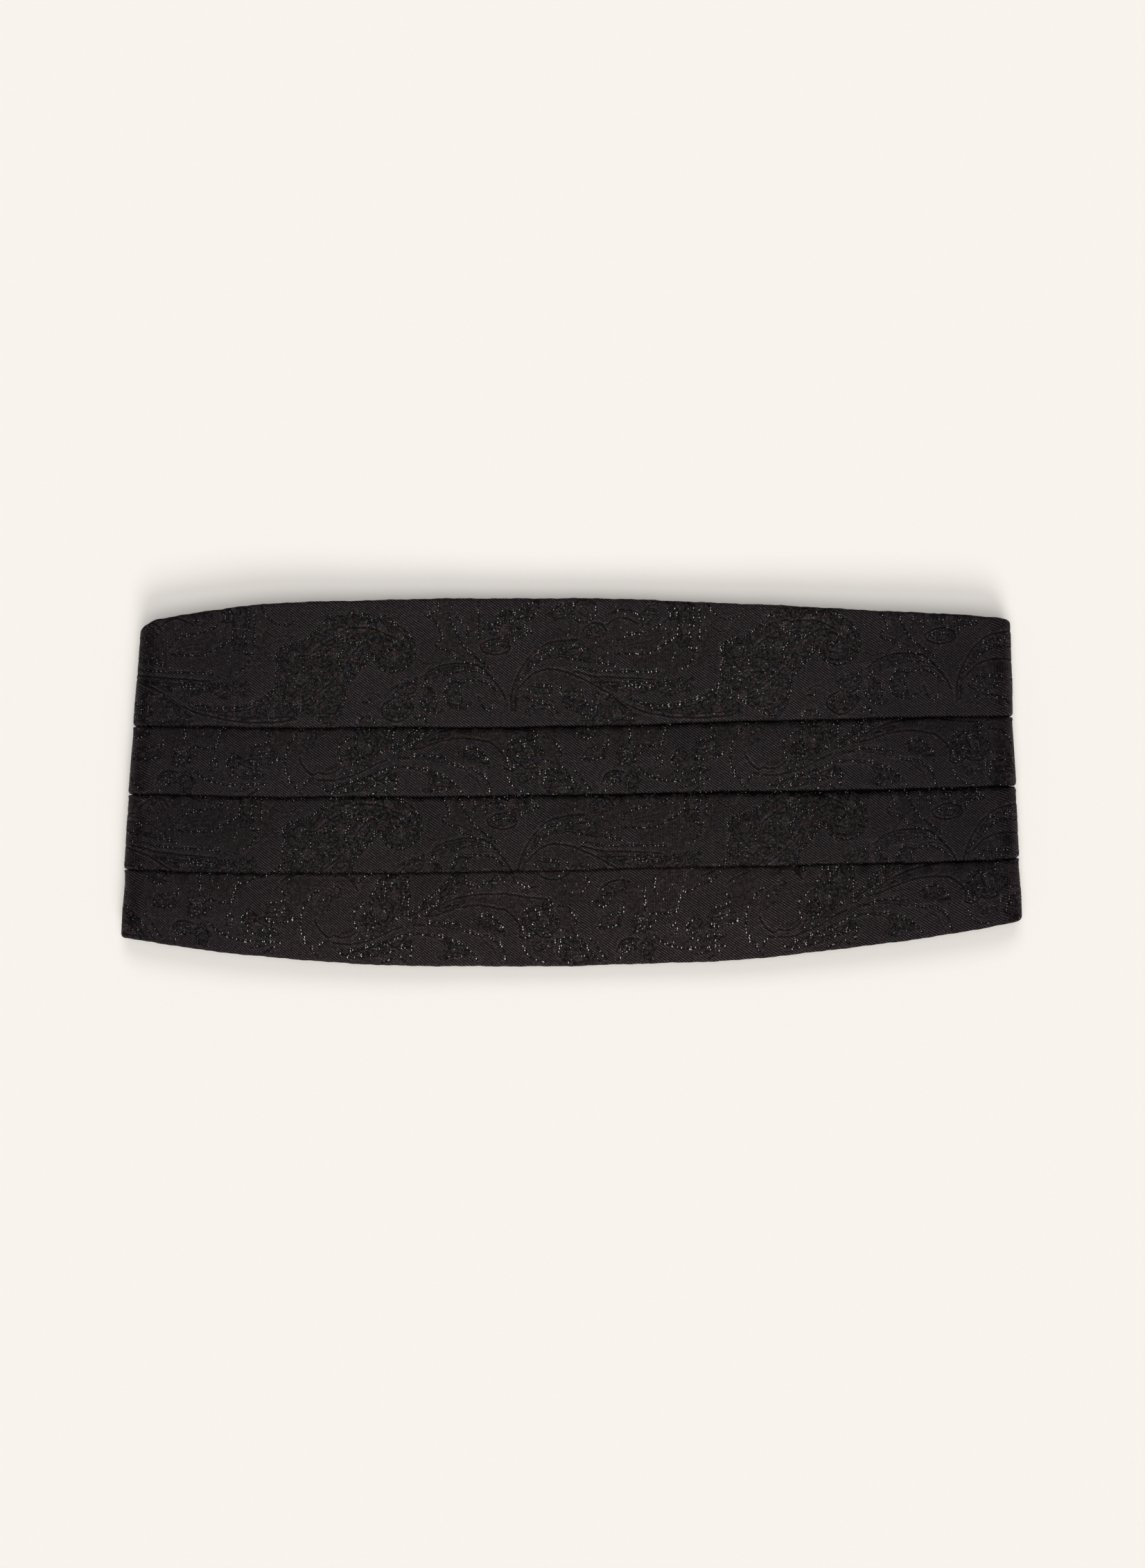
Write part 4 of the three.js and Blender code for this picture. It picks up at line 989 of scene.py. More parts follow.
def make_band(band, cloth, shift):
    """One band of the pleated front, from its hidden upper fold to its own fold or hem."""
    chart = CHARTS[band["strip"]]
    along = places_along()
    side = np.where(along < 0, 0, 1)
    fold = np.array(FOLD_LINE)[side]
    fanned = np.minimum(np.abs(along) / fold, 1) * np.array(FOLD_SLANT)[side] * np.sign(along)
    line, lower, painted_fold_shade, hidden, count = band_section(band, along)
    outer, inner = offset_faces(line, CLOTH)
    size = line.shape[1]
    kept = np.unique(np.concatenate([
        np.arange(0, hidden, 2), np.arange(hidden, hidden + count, 10),
        np.arange(hidden + count, size, 2), [size - 1],
    ]))

    u = (along[:, None] - fanned[:, None] * outer[..., 0]) + band["at"][0]
    tip = hidden + count + TURN_POINTS // 2
    v = outer[..., 0] - lower[:, None]
    v[:, tip:] *= -1
    v = v + band["at"][1]
    if band["upper"] == "top":
        crest = 5 + TURN_POINTS // 2
        v[:, :crest] = 2 * v[:, crest:crest + 1] - v[:, :crest]
    press = {kind: chart.read(kind, u, v) for kind in chart.fields}
    pressed = pressed_relief(press, along)
    outer = outer + (outer - line) * (-pressed / (CLOTH / 2))[..., None]

    ring = np.concatenate([outer, inner[:, kept[::-1]]], axis=1)
    flat_along = along[:, None] - fanned[:, None] * ring[..., 0]
    fill = end_fill(line, hidden, count, edge_line(band["upper"], along), band["upper"] == "top",
                    ring, along)
    rings = lay(flat_along, ring[..., 0], ring[..., 1], fill) + shift
    piece = tube_mesh(band["name"], rings)
    extra = len(kept)

    def padded(values, behind):
        back = np.full((values.shape[0], extra), behind)
        return np.concatenate([values, back], axis=1)

    weave = np.stack([padded(u, 0), padded(v, 0), np.zeros((len(along), size + extra))], axis=-1)
    weave[:, size:, 0] = flat_along[:, size:]
    weave[:, size:, 1] = ring[:, size:, 0]
    keep(piece, "weave", weave.reshape(-1, 3))
    keep(piece, "cell", padded(cells(u, v), 0.0).reshape(-1))
    for kind, values in press.items():
        behind = CHART_REACH if kind in LINES else -CHART_REACH
        keep(piece, kind, padded(values, behind).reshape(-1))
    # Painted shade of the gap under the fold above
    keep(piece, "painted_fold_shade", padded(painted_fold_shade, -PAINTED_SHADE_REACH).reshape(-1))
    # Painted light and shade: how much brighter or darker each place's colour is made
    from_edge = weave[..., 1] - band["at"][1]
    keep(piece, "lit", painted_light_share(band, rings, ring[..., 0], along, from_edge).reshape(-1))

    piece.data.materials.append(cloth)
    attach(piece, "root")
    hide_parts("pleated_front")
    return {"band": band, "rings": rings[:, :size], "along": along, "u": u, "v": v,
            "first": hidden, "last": hidden + count + TURN_POINTS // 2}


def back_line(share):
    """Places and headings on the line that the straps follow behind the front."""
    ends = []
    for mirror in (-1, 1):
        at = mirror * (FRONT_LENGTH / 2 - STRAP_OVERLAP)
        middle = (outline_at("top", np.array(at)) + outline_at("bottom", np.array(at))) / 2
        start = lay(np.array(at), middle, 0.0)[:2]
        ahead = lay(np.array(mirror * FRONT_LENGTH / 2), middle, 0.0)[:2]
        ends.append((start, (ahead - start) / np.linalg.norm(ahead - start)))
    reach = np.linalg.norm(ends[1][0] - ends[0][0]) / 3
    p0, p1 = ends[0][0], ends[0][0] + ends[0][1] * reach
    p3, p2 = ends[1][0], ends[1][0] + ends[1][1] * reach
    t = np.linspace(0, 1, 400)[:, None]
    curve = p0 * (1 - t)**3 + 3 * p1 * t * (1 - t)**2 + 3 * p2 * t**2 * (1 - t) + p3 * t**3
    run = np.append(0, np.cumsum(np.linalg.norm(np.diff(curve, axis=0), axis=1)))
    wanted = np.asarray(share) * run[-1]
    place = np.stack([np.interp(wanted, run, curve[:, i]) for i in (0, 1)], axis=-1)
    step = run[-1] / 400
    after = np.stack([np.interp(wanted + step, run, curve[:, i]) for i in (0, 1)], axis=-1)
    before = np.stack([np.interp(wanted - step, run, curve[:, i]) for i in (0, 1)], axis=-1)
    heading = after - before
    heading = heading / np.linalg.norm(heading, axis=-1, keepdims=True)
    return place, heading


def back_length():
    place, _ = back_line(np.linspace(0, 1, 200))
    return float(np.sum(np.linalg.norm(np.diff(place, axis=0), axis=1)))


def strap_side():
    """The middle line of a strap seen from its edge, as (place along, height) in millimetres."""
    half = STRAP_THICKNESS / 2
    bar_up = STRAP_THICKNESS + SEAT_GAP + CLASP_THICKNESS / 2
    clasp_length = 3 * BAR_WIDTH + 2 * CLASP_WINDOW
    bar_place = (back_length() - clasp_length + BAR_WIDTH) / 2
    sewn = STACK + SEAT_GAP + half
    drop_start = STRAP_OVERLAP + SEAT_GAP
    drop_end = drop_start + STRAP_DROP
    bend = bar_place + BAR_WIDTH / 2
    radius = bar_up - half
    back_up = STRAP_THICKNESS + SEAT_GAP + half

    def run(x0, y0, x1, y1, count):
        t = np.linspace(0, 1, count, endpoint=False)
        return np.stack([x0 + (x1 - x0) * t, y0 + (y1 - y0) * t], axis=-1)

    drop = run(drop_start, 0, drop_end, 1, 16)
    drop[:, 1] = sewn + (half - sewn) * smooth(0, 1, drop[:, 1])
    angle = np.linspace(-math.pi / 2, math.pi / 2, 12)
    turn = np.stack([bend + radius * np.cos(angle), bar_up + radius * np.sin(angle)], axis=-1)
    back = run(bar_place - BAR_WIDTH / 2, 0, bar_place - STRAP_TURNBACK / 2, 1, 6)
    back[:, 1] = bar_up + radius + (back_up - bar_up - radius) * smooth(0, 1, back[:, 1])
    return np.concatenate([
        run(0, sewn, drop_start, sewn, 18), drop, run(drop_end, half, bend, half, 40), turn, back,
        run(bar_place - STRAP_TURNBACK / 2, back_up, bar_place - STRAP_TURNBACK, back_up, 6),
    ])


def make_strap(name, node, mirrored, webbing, shift):
    """A strap of woven webbing with rounded selvedges, ribs across it and its sewn ends."""
    side = strap_side()[None]
    upper, under = offset_faces(side, STRAP_THICKNESS)
    across = np.linspace(-1, 1, 27)
    swell = np.sqrt(np.clip(1 - np.abs(across) ** 14, 0, 1)) * 0.5 + 0.5
    length = back_length()
    rings = []
    for place, thin in zip(across, swell):
        middle = side[0]
        outer = middle + (upper[0] - middle) * thin
        inner = middle + (under[0] - middle) * thin
        ring = np.concatenate([outer, inner[::-1]])
        share = np.clip(ring[:, 0] / length, 0, 1)
        spot, heading = back_line(1 - share if mirrored else share)
        sign = -1 if mirrored else 1
        off = place * STRAP_WIDTH / 2 * sign
        rings.append(np.stack([
            spot[:, 0] - heading[:, 1] * off, spot[:, 1] + heading[:, 0] * off, ring[:, 1],
        ], axis=-1))
    rings = np.array(rings) + shift
    piece = tube_mesh(name, rings[::-1])
    run = np.append(0, np.cumsum(np.linalg.norm(np.diff(side[0], axis=0), axis=1)))
    ring_run = np.concatenate([run, run[::-1]])
    weave = np.zeros(rings.shape)
    weave[..., 0] = ring_run[None, :]
    weave[..., 1] = (across[::-1] * STRAP_WIDTH / 2)[:, None]
    keep(piece, "weave", weave.reshape(-1, 3))
    piece.data.materials.append(webbing)
    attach(piece, "root")
    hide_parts(node)
    return piece


def bead_spots(strip, chooser):
    """Places of the stitches in one repeat of a strip, and how bright each is painted, as its glint."""
    spots, strengths = [], []
    for kind, route in TRAILS[strip]:
        if kind != "beaded":
            continue
        line = curve_through(route, 0.1)
        run = np.append(0, np.cumsum(np.linalg.norm(np.diff(line, axis=0), axis=1)))
        count = max(1, int(run[-1] / BEAD_STEP))
        wanted = (np.arange(count) + 0.5) * run[-1] / count + chooser.uniform(-0.45, 0.45, count)
        places = np.stack([np.interp(wanted, run, line[:, i]) for i in (0, 1)], axis=-1)
        places = places + chooser.normal(0, 0.2, places.shape)
        # Painted glint: each stitch's random brightness stands for how it catches the light
        power = np.clip(chooser.random(count) ** 1.2 * 1.2, 0, 1)
        spots.append(places)
        strengths.append(power)
        second = chooser.random(count) < SECOND_STITCH_SHARE
        spots.append(places[second] + (0.0, SECOND_STITCH_UP))
        strengths.append(power[second] * 0.8)
    loose = chooser.uniform((0, 0), (TILE, CHART_HEIGHT - 6), (SPECKS, 2))
    inside = CHARTS[strip].read("mottled", loose[:, 0], loose[:, 1]) > 0.3
    inside |= CHARTS[strip].read("rippled", loose[:, 0], loose[:, 1]) > 0.5
    spots.append(loose[inside])
    strengths.append(0.12 + 0.6 * chooser.random(int(inside.sum())) ** 3)

    # Stitches on the outlines of the cells
    u, v = chooser.uniform((0, 0), (TILE, CHART_HEIGHT - 6), (CELL_STITCHES, 2)).T
    for _ in range(4):
        value = cells(u, v)
        miss = np.where(value > 0, HILL, HOLLOW) - value
        slope = np.stack([
            cells(u + 0.1, v) - cells(u - 0.1, v), cells(u, v + 0.1) - cells(u, v - 0.1),
        ]) / 0.2
        push = np.clip(miss / (np.sum(slope**2, axis=0) + 0.1), -0.6, 0.6)
        u = u + push * slope[0]
        v = v + push * slope[1]
    inside = CHARTS[strip].read("mottled", u, v) > 0.4
    inside |= CHARTS[strip].read("rippled", u, v) > 0.7
    few = chooser.random(len(u)) < 0.45
    inside |= few & (CHARTS[strip].read("satin", u, v) > 0.5)
    inside |= few & (CHARTS[strip].read("ribbed", u, v) > 0.5)
    spots.append(np.stack([u, v], axis=-1)[inside])
    strengths.append(0.08 + 0.85 * chooser.random(int(inside.sum())) ** 3.0)
    return np.concatenate(spots), np.concatenate(strengths)


def make_beads(faces, thread, seed):
    """The silver stitches along the beaded outlines, as small tufts on the cloth."""
    chooser = np.random.default_rng(seed)
    strips = {strip: bead_spots(strip, chooser) for strip in sorted(TRAILS)}
    tuft = octahedron()
    points, painted_glints = [], []
    for face in faces:
        along, u, v = face["along"], face["u"], face["v"]
        shown = np.where((along > -SHOWN_REACH) & (along < SHOWN_REACH))[0]
        low_u = u[shown[0]].min()
        high_u = u[shown[-1]].max()
        spots, strengths = strips[face["band"]["strip"]]
        for copy in range(-2, 3):
            for (spot_u, spot_v), power in zip(spots, strengths):
                place_u = spot_u + copy * TILE
                if power < DIMMEST_STITCH or not low_u < place_u < high_u:
                    continue
                spot = on_face(face, shown, place_u, spot_v)
                if spot is None:
                    continue
                place, out, run_along, up = spot
                if out[2] < 0:
                    continue
                # Painted glint: stitches are painted brighter where they catch the light
                power = power * glint(face["band"]["name"], place[0])
                tall = 0.13 + 0.23 * power ** 2
                wide = 0.12 + 0.065 * power
                axes = np.stack([run_along * wide, up * tall, out * 0.12])
                points.append(place + out * 0.03 + tuft[0] @ axes)
                painted_glints.append(power)
    return tuft_mesh("silver_thread", points, painted_glints, tuft[1], thread)


def glint(name, x):
    """How much of its painted glint a stitch shows: full in a few places where it catches the light, less
    towards the ends.
    """
    best = GLINT
    for band, place, reach, share in GLINTS:
        if band == name:
            best = best + share * math.exp(-((x - place) / reach) ** 2)
    return min(1.0, best) * (1 - 0.15 * float(smooth(0.5, 1.0, abs(x) / FOLD_LINE[0])))


def octahedron():
    """Corners and faces of a small pointed tuft."""
    corners = np.array([(1, 0, 0), (-1, 0, 0), (0, 1, 0), (0, -1, 0), (0, 0, 1), (0, 0, -1)], dtype=float)
    triangles = np.array([
        (0, 2, 4), (2, 1, 4), (1, 3, 4), (3, 0, 4), (2, 0, 5), (1, 2, 5), (3, 1, 5), (0, 3, 5),
    ])
    return corners * TUFT_SIZE, triangles


def on_face(face, shown, place_u, place_v):
    """The spot of the cloth's face at a place of its pattern: where it is and its directions."""
    grid, u, v, first, last = (face[name] for name in ("rings", "u", "v", "first", "last"))
    middle = (first + last) // 2
    station = int(np.searchsorted(u[shown, middle], place_u))
    if station < 2 or station > len(shown) - 2:
        return None
    station = shown[station]
    rows = v[station, first:last]
    if not rows[-1] < place_v < rows[0]:
        return None
    row = first + int(np.searchsorted(-rows, -place_v))
    row = min(max(row, first + 1), last - 1)
    column = station + int(round((place_u - u[station, row]) / ALONG_STEP))
    if column < 1 or column > len(u) - 2:
        return None
    place = grid[column, row]
    along = grid[column + 1, row] - grid[column - 1, row]
    up = grid[column, row - 1] - grid[column, row + 1]
    along = along / np.linalg.norm(along)
    up = up / np.linalg.norm(up)
    out = np.cross(along, up)
    nudge = (place_u - u[column, row]) * along + (place_v - v[column, row]) * up
    return place + nudge, out, along, up


def tuft_mesh(name, points, painted_glints, triangles, material):
    """All the tufts as one mesh, each with its own painted glint brightness."""
    size = len(points[0])
    places = np.concatenate(points)
    faces = (triangles[None] + size * np.arange(len(points))[:, None, None]).reshape(-1, 3)
    mesh = bpy.data.meshes.new(name)
    mesh.vertices.add(len(places))
    mesh.vertices.foreach_set("co", (places * MM).astype(np.float32).ravel())
    mesh.loops.add(faces.size)
    mesh.loops.foreach_set("vertex_index", faces.astype(np.int32).ravel())
    mesh.polygons.add(len(faces))
    mesh.polygons.foreach_set("loop_start", 3 * np.arange(len(faces), dtype=np.int32))
    mesh.update(calc_edges=True)
    mesh.shade_smooth()
    piece = bpy.data.objects.new(name, mesh)
    bpy.context.scene.collection.objects.link(piece)
    keep(piece, "shade", np.repeat(np.array(painted_glints), size))
    piece.data.materials.append(material)
    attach(piece, "root")
    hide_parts("pleated_front")
    return piece


class Value:
    """A number that varies over a surface, for sums written as Python expressions."""

    def __init__(self, shader, socket):
        self.shader = shader
        self.socket = socket

    def __add__(self, other):
        return self.shader.math("ADD", self, other)

    def __radd__(self, other):
        return self.shader.math("ADD", other, self)

    def __sub__(self, other):
        return self.shader.math("SUBTRACT", self, other)

    def __rsub__(self, other):
        return self.shader.math("SUBTRACT", other, self)

    def __mul__(self, other):
        return self.shader.math("MULTIPLY", self, other)

    def __rmul__(self, other):
        return self.shader.math("MULTIPLY", other, self)

    def __pow__(self, other):
        return self.shader.math("POWER", self, other)


class Shader:
    """A material and the making of its nodes."""

    def __init__(self, name, roughness, specular):
        self.material = bpy.data.materials.new(name)
        self.material.use_nodes = True
        self.tree = self.material.node_tree
        self.surface = self.tree.nodes["Principled BSDF"]
        self.surface.inputs["Roughness"].default_value = roughness
        self.surface.inputs["Specular IOR Level"].default_value = specular

    def node(self, kind, settings, sockets, output=0):
        """A node with its settings, then the values or links of its sockets."""
        node = self.tree.nodes.new(kind)
        for name, value in settings.items():
            setattr(node, name, value)
        for name, value in sockets.items():
            if isinstance(value, Value):
                self.tree.links.new(value.socket, node.inputs[name])
            else:
                node.inputs[name].default_value = value
        return Value(self, node.outputs[output])

    def math(self, operation, *numbers):
        return self.node("ShaderNodeMath", {"operation": operation}, dict(enumerate(numbers)))

    def most(self, first, *others):
        """The largest of some values."""
        for other in others:
            first = self.math("MAXIMUM", first, other)
        return first

    def least(self, first, *others):
        """The smallest of some values."""
        for other in others:
            first = self.math("MINIMUM", first, other)
        return first

    def attribute(self, name, output=2):
        return self.node("ShaderNodeAttribute", {"attribute_name": name}, {}, output)

    def object_place(self):
        return self.node("ShaderNodeTexCoord", {}, {}, 3)

    def across_and_up(self, place):
        """The first two coordinates of a place."""
        return [self.node("ShaderNodeSeparateXYZ", {}, {"Vector": place}, i) for i in (0, 1)]

    def wave(self, along, length):
        """From 0 to 1 and back over each length."""
        return self.math("SINE", along * (2 * math.pi / length)) * 0.5 + 0.5

    def step(self, value, low, high):
        """From 0 at low to 1 at high, smoothly."""
        return self.node("ShaderNodeMapRange", {"interpolation_type": "SMOOTHSTEP"}, {
            "Value": value, "From Min": low, "From Max": high,
        })

    def line(self, value, at, half):
        """1 where a value passes a number, fading out to half of that width on either side."""
        away = self.math("ABSOLUTE", value - at)
        return 1 - self.step(away, half * 0.3, half)

    def noise(self, place, scale, detail=2.0, roughness=0.5):
        sockets = {"Vector": place, "Scale": scale, "Detail": detail, "Roughness": roughness}
        return self.node("ShaderNodeTexNoise", {}, sockets)

    def vector(self, x, y, z=0.0):
        return self.node("ShaderNodeCombineXYZ", {}, {"X": x, "Y": y, "Z": z})

    def mix(self, factor, first, second):
        """A colour between two others."""
        return self.node("ShaderNodeMix", {"data_type": "RGBA"}, {
            "Factor": factor, 6: first, 7: second,
        }, 2)

    def tint(self, colour, value):
        """A colour made brighter or darker by a value."""
        grey = self.node("ShaderNodeCombineColor", {}, {0: value, 1: value, 2: value})
        return self.node("ShaderNodeMix", {"data_type": "RGBA", "blend_type": "MULTIPLY"}, {
            "Factor": 1.0, 6: colour, 7: grey,
        }, 2)

    def paint(self, socket, value):
        self.tree.links.new(value.socket, self.surface.inputs[socket])

    def bump(self, height):
        sockets = {"Height": height, "Distance": BUMP_DEPTH, "Strength": 0.5}
        self.paint("Normal", self.node("ShaderNodeBump", {}, sockets))


def jacquard():
    """The dark jacquard: twill ground, satin, ribbed and mottled shapes, dark outlines, with painted
    light and shade over it.
    """
    s = Shader("dark_jacquard", roughness=0.6, specular=0.07)
    u, v = s.across_and_up(s.attribute("weave", 1))
    cord, crease, beaded = (s.attribute(name) for name in ("cord", "crease", "beaded"))
    satin = s.step(s.attribute("satin"), -0.15, 0.15)
    ribbed = s.step(s.attribute("ribbed"), -0.15, 0.15)
    mottled_depth = s.attribute("mottled")
    rippled_depth = s.attribute("rippled")
    mottled = s.step(mottled_depth, -0.2, 0.2)
    rippled = s.step(rippled_depth, -0.2, 0.2)
    # Painted shade in the gap under each fold
    painted_fold_shade = s.attribute("painted_fold_shade")
    cell = s.attribute("cell")

    # Threads: each weave is a wave across its own lines, broken up by the thread noise
    thread = s.noise(s.vector(u * 1.7, v * 1.7), 1.0, 2.0, 0.6)
    fibre = s.step(s.noise(s.vector(u * 3.9, v * 2.3), 1.0, 2.0, 0.7), 0.3, 0.7)
    across_twill = u * math.sin(TWILL_LEAN) + v * math.cos(TWILL_LEAN)
    twill = s.wave(across_twill + (thread - 0.5) * 0.14, TWILL_PITCH)
    slash = s.wave((u - v) * math.sqrt(0.5) + (thread - 0.5) * 0.12, SATIN_PITCH)
    ribs = s.wave(u + (thread - 0.5) * 0.12, RIB_PITCH)
    warp = s.noise(s.vector(u * 0.2, v * 0.32), 1.0, 2.0, 0.5)
    ripple = s.wave(v - u * 0.3 + (warp - 0.5) * 9.0, 1.7)
    blotch = s.step(s.noise(s.vector(u * 0.75, v * 0.9), 1.0, 3.0, 0.8), 0.36, 0.62)
    echo = s.most(s.line(mottled_depth, 1.15, 0.26), s.line(rippled_depth, 0.95, 0.24))
    smooth_weaves = s.most(satin, ribbed)

    ground = 0.07 + twill ** 1.8 * 1.88
    ground = ground * (1 - satin) + (0.2 + slash * 1.05) * satin
    ground = ground * (1 - ribbed) + (0.18 + ribs * 1.2) * ribbed
    hill = s.step(cell, HILL - 0.1, HILL + 0.15)
    veins = s.wave(v * 0.5 - u * 0.35 + (warp - 0.5) * 13.0, 1.9)
    motif = (0.1 + blotch * 0.9 + hill * 0.3) * (0.45 + ribs * 0.35 + twill * 0.35 + veins * 0.3)
    ground = ground * (1 - mottled) + motif * mottled
    fluted = (0.25 + ripple * 0.95) * (0.8 + twill * 0.35)
    ground = ground * (1 - rippled * 0.9) + fluted * rippled * 0.9

    # Small broken figures along every outline
    nearest = s.least(cord, crease, beaded)
    lace = s.step(s.noise(s.vector(u * 0.55, v * 0.65), 1.0, 3.0, 0.8), 0.44, 0.52)
    beside = 1 - s.step(nearest, 1.5, 2.4)
    lace = lace * s.most(beside * 0.75, smooth_weaves * 0.6)
    ground = ground * (1 - lace) + motif * lace

    # Outlines: a dark line with a pale rim, the line partly dark thread and partly painted shade of the
    # raised cord, the rim a painted highlight on it; broken dark picks by the stitches, and inside the
    # figured places echoes of their outline, rounds and small hollows
    groove = 1 - s.step(cord, 0.08, 0.42)
    painted_cord_highlight = s.step(cord, 0.32, 0.6) * (1 - s.step(cord, 0.7, 1.25))
    fine = 1 - s.step(crease, 0.05, 0.32)
    painted_crease_highlight = s.step(crease, 0.3, 0.5) * (1 - s.step(crease, 0.55, 0.95))
    picks = s.noise(s.vector(u * 1.1, v * 1.9), 1.0, 2.0, 0.7)
    broken = (1 - s.step(beaded, 0.18, 0.58)) * s.step(picks, 0.36, 0.54)
    halo = s.step(beaded, 0.65, 0.9) * (1 - s.step(beaded, 1.0, 1.5))
    rounds = s.most(s.line(cell, HILL, 0.34), s.line(cell, HOLLOW, 0.34))
    busy = s.most(mottled, rippled * 0.7, smooth_weaves * 0.55)
    figured = s.most(mottled, rippled, lace)
    hollows = s.step(s.noise(s.vector(u * 1.2, v * 1.4), 1.0, 2.0, 0.7), 0.55, 0.62)
    hollows = hollows * s.most(figured * 0.6, smooth_weaves * 0.4)
    dark = s.most(groove * (0.7 + picks * 0.5), fine * 0.85, broken * 0.85, echo * (0.2 + picks),
                  rounds * busy * (0.22 + picks), hollows)
    # Painted highlights on the pale rims beside the cords and creases
    tone = ground * (1 + painted_cord_highlight * 0.65 + painted_crease_highlight * 0.45 + halo * 0.3 + figured * 0.14)

    # Uneven threads, and the painted light and shade that the place gets
    grain = s.noise(s.vector(u * 0.8, v * 0.8), 1.0, 2.0, 0.7)
    coarse = 0.5 + s.step(thread, 0.28, 0.72)
    patchy = 0.7 + s.step(grain, 0.3, 0.7) * 0.6
    tone = tone * coarse * patchy * (0.2 + fibre * 1.4)
    broad = s.noise(s.vector(u * 0.035, v * 0.06), 1.0, 2.0, 0.5)
    tone = tone * (0.72 + broad * 0.56) * s.attribute("lit")

    # Colours: warm, cool and olive in the figured places, purple at the ends and brown low in the
    # middle
    hue = s.step(s.noise(s.vector(u * 0.3, v * 0.38), 1.0, 3.0, 0.7), 0.38, 0.62)
    body = s.mix(hue, COOL_THREAD, WARM_THREAD)
    olive = s.step(s.noise(s.vector(u * 0.21, v * 0.3, 7.0), 1.0, 2.0, 0.6), 0.42, 0.66)
    x, y = s.across_and_up(s.object_place())
    outer = s.step(s.math("ABSOLUTE", x), 0.07, 0.14)
    low = 1 - s.step(y, -0.045, -0.005)
    body = s.mix(olive * (0.7 - outer * 0.5), body, OLIVE_THREAD)
    plain = s.mix(smooth_weaves * 0.7, GROUND_THREAD, BROWN_THREAD)
    colour = s.mix(figured * 0.7 + 0.1, plain, body)
    colour = s.mix(outer * 0.5, colour, END_THREAD)
    colour = s.mix((1 - outer) * low * 0.55, colour, BROWN_THREAD)
    s.paint("Base Color", s.tint(colour, tone))
    s.paint("Roughness", 0.48 + (1 - twill) * 0.2)
    s.bump(ground * 0.5 - dark * 0.8 + thread * 0.3)

    # Painted shade: the gaps under the folds are mixed towards black, and so are the dark outlines, which
    # are partly their own dark thread and partly painted shade of the raised cords
    painted_gap_shade = s.step(painted_fold_shade + (picks - 0.5) * 0.35, -0.16, 0.12)
    shade_and_outline_mix = s.most(painted_gap_shade * 0.985, dark * 0.93)
    # A black diffuse surface, mixed in as painted shade
    shade = s.tree.nodes.new("ShaderNodeBsdfDiffuse")
    shade.inputs["Color"].default_value = SHADE_AND_OUTLINE_BLACK
    both = s.node("ShaderNodeMixShader", {}, {
        "Fac": shade_and_outline_mix, 1: Value(s, s.surface.outputs[0]), 2: Value(s, shade.outputs[0]),
    })
    s.tree.links.new(both.socket, s.tree.nodes["Material Output"].inputs["Surface"])
    return s.material


def silver():
    """The thread of the stitches, its colour painted from dull to bright as its glint."""
    s = Shader("silver_thread", roughness=0.4, specular=0.5)
    shade = s.attribute("shade")
    # The stitches' colour is painted from dull to bright by their glint
    s.paint("Base Color", s.mix(shade ** 2, DULL_SILVER, GLINT_SILVER))
    s.paint("Roughness", 0.35 + s.noise(s.object_place(), 9000.0) * 0.3)
    return s.material


def webbing_weave():
    """Black webbing: ribs across it and a fine herringbone."""
    s = Shader("black_webbing", roughness=0.8, specular=0.2)
    u, v = s.across_and_up(s.attribute("weave", 1))
    ribs = s.wave(u, 0.9)
    picks = s.wave(v + s.math("PINGPONG", u, 2.0) * 0.5, 0.8)
    fibre = s.noise(s.vector(u * 3, v * 5), 1.0, 3.0, 0.6)
    tone = (0.5 + ribs * 0.5) * (0.6 + picks * 0.5) * (0.6 + fibre * 0.8)
    s.paint("Base Color", s.tint(s.mix(fibre, WEBBING_DARK, WEBBING_PALE), tone))
    s.bump(ribs * 0.6 + picks * 0.4 + fibre * 0.3)
    return s.material


def clasp_enamel():
    """Dark satin metal with fine brushing."""
    s = Shader("dark_satin_metal", roughness=0.38, specular=0.5)
    sockets = {"Vector": s.object_place(), "Scale": (400.0, 9000.0, 400.0)}
    grain = s.noise(s.node("ShaderNodeMapping", {}, sockets), 1.0, 3.0, 0.6)
    s.paint("Base Color", s.mix(grain, ENAMEL_DARK, ENAMEL_PALE))
    s.paint("Roughness", 0.3 + grain * 0.22)
    s.surface.inputs["Metallic"].default_value = 0.9
    return s.material


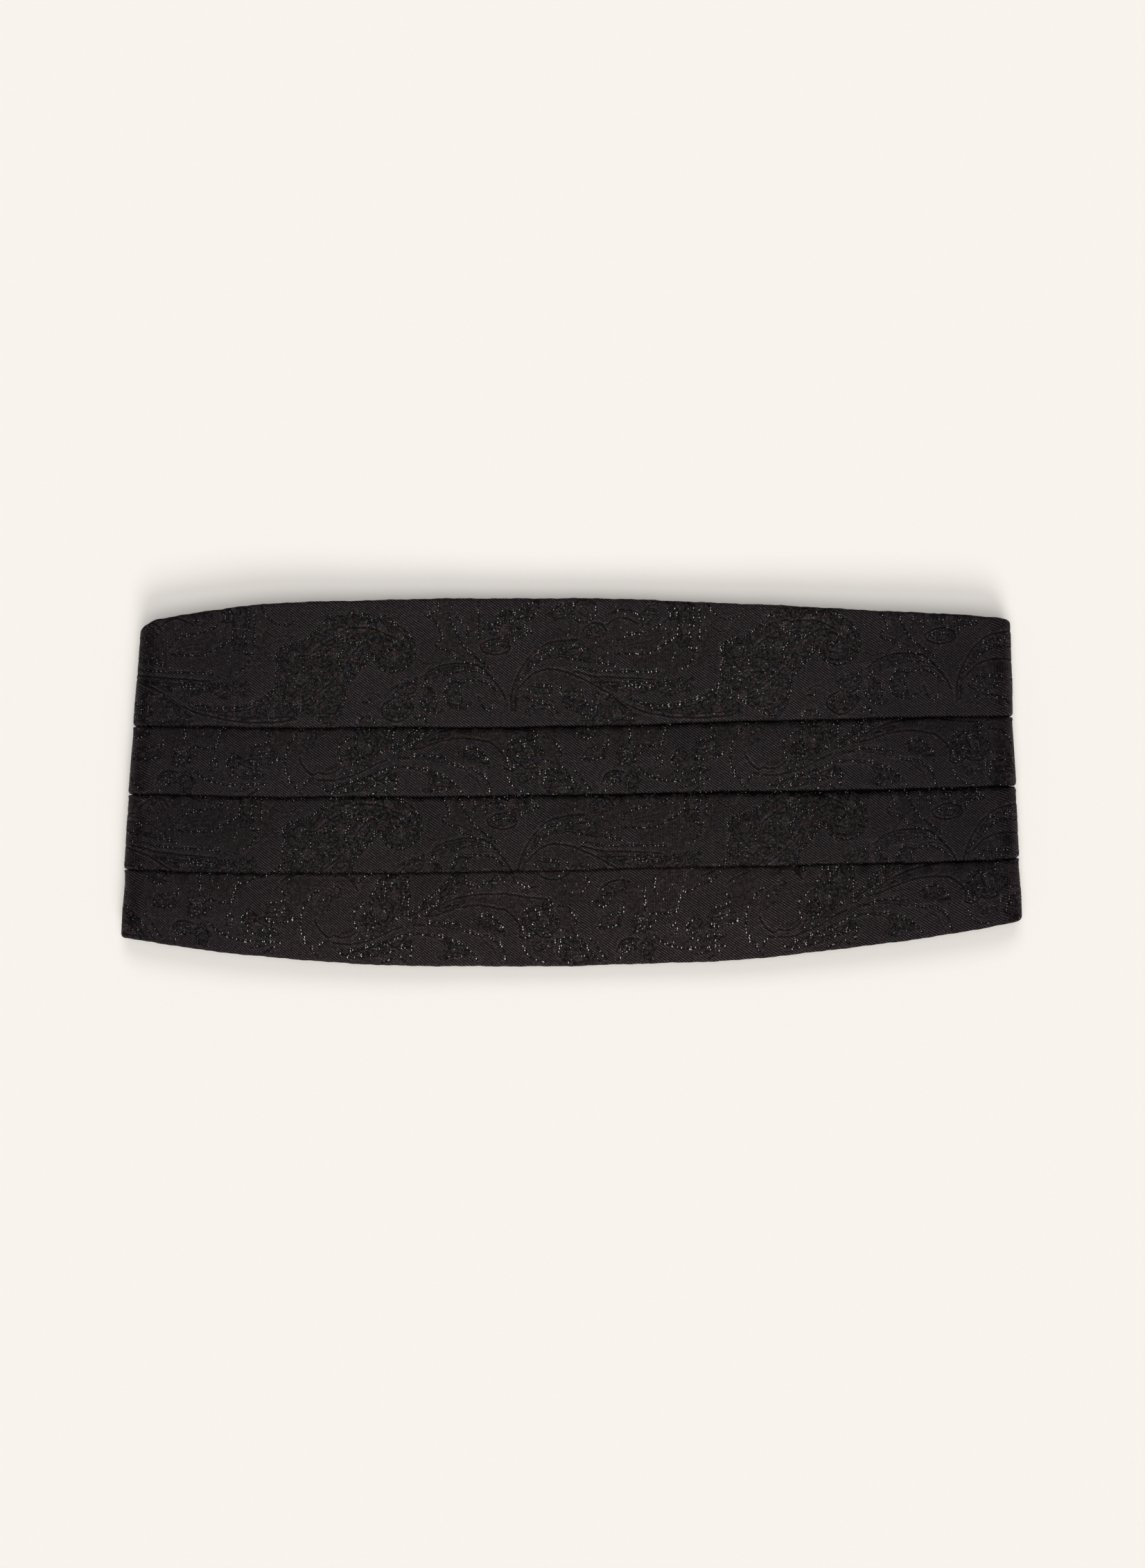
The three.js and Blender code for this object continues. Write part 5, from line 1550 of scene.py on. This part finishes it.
def floor_and_light():
    """A pale floor, three broad soft suns and a faint even light all round."""
    bpy.ops.mesh.primitive_plane_add(size=FLOOR_SIZE)
    floor = bpy.context.object
    floor.name = "floor"
    paper = Shader("pale_paper", roughness=0.9, specular=0.0)
    grain = paper.noise(paper.object_place(), 900.0)
    paper.paint("Base Color", paper.mix(grain, FLOOR_DIM, FLOOR_LIT))
    floor.data.materials.append(paper.material)

    for name, azimuth, elevation, spread, strength in SUNS:
        data = bpy.data.lights.new(name, "SUN")
        data.energy = strength
        data.angle = math.radians(spread)
        lamp = bpy.data.objects.new(name, data)
        lamp.rotation_euler = (math.radians(90 - elevation), 0, math.radians(azimuth))
        bpy.context.scene.collection.objects.link(lamp)

    world = bpy.data.worlds.new("studio")
    world.use_nodes = True
    background = world.node_tree.nodes["Background"]
    background.inputs["Color"].default_value = (1, 1, 1, 1)
    background.inputs["Strength"].default_value = AMBIENT
    bpy.context.scene.world = world
    bpy.context.scene.view_settings.view_transform = "Standard"


def place_camera():
    """Straight above the object, with the photograph's framing."""
    data = bpy.data.cameras.new("camera")
    data.lens = CAMERA_LENS
    data.sensor_width = CAMERA_SENSOR
    data.dof.use_dof = False
    camera = bpy.data.objects.new("camera", data)
    across = PHOTO_SIZE[1] * PIXEL * MM
    distance = across * CAMERA_LENS / CAMERA_SENSOR
    x = (PHOTO_SIZE[0] / 2 - OBJECT_PIXEL[0]) * PIXEL * MM
    y = (OBJECT_PIXEL[1] - PHOTO_SIZE[1] / 2) * PIXEL * MM
    camera.location = (x, y, FRONT_TOP * MM + distance)
    bpy.context.scene.collection.objects.link(camera)
    bpy.context.scene.camera = camera


for chosen in bpy.context.selected_objects:
    chosen.select_set(False)
place_camera()
floor_and_light()
shift = shift_of_frame()
cloth = jacquard()
webbing = webbing_weave()
make_strap("strap_tape_left", "strap_left", False, webbing, shift)
make_strap("strap_tape_right", "strap_right", True, webbing, shift)
faces = [make_band(band, cloth, shift) for band in BANDS]
make_beads(faces, silver(), seed=7)
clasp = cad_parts["clasp"]
clasp.data.materials.clear()
clasp.data.materials.append(clasp_enamel())
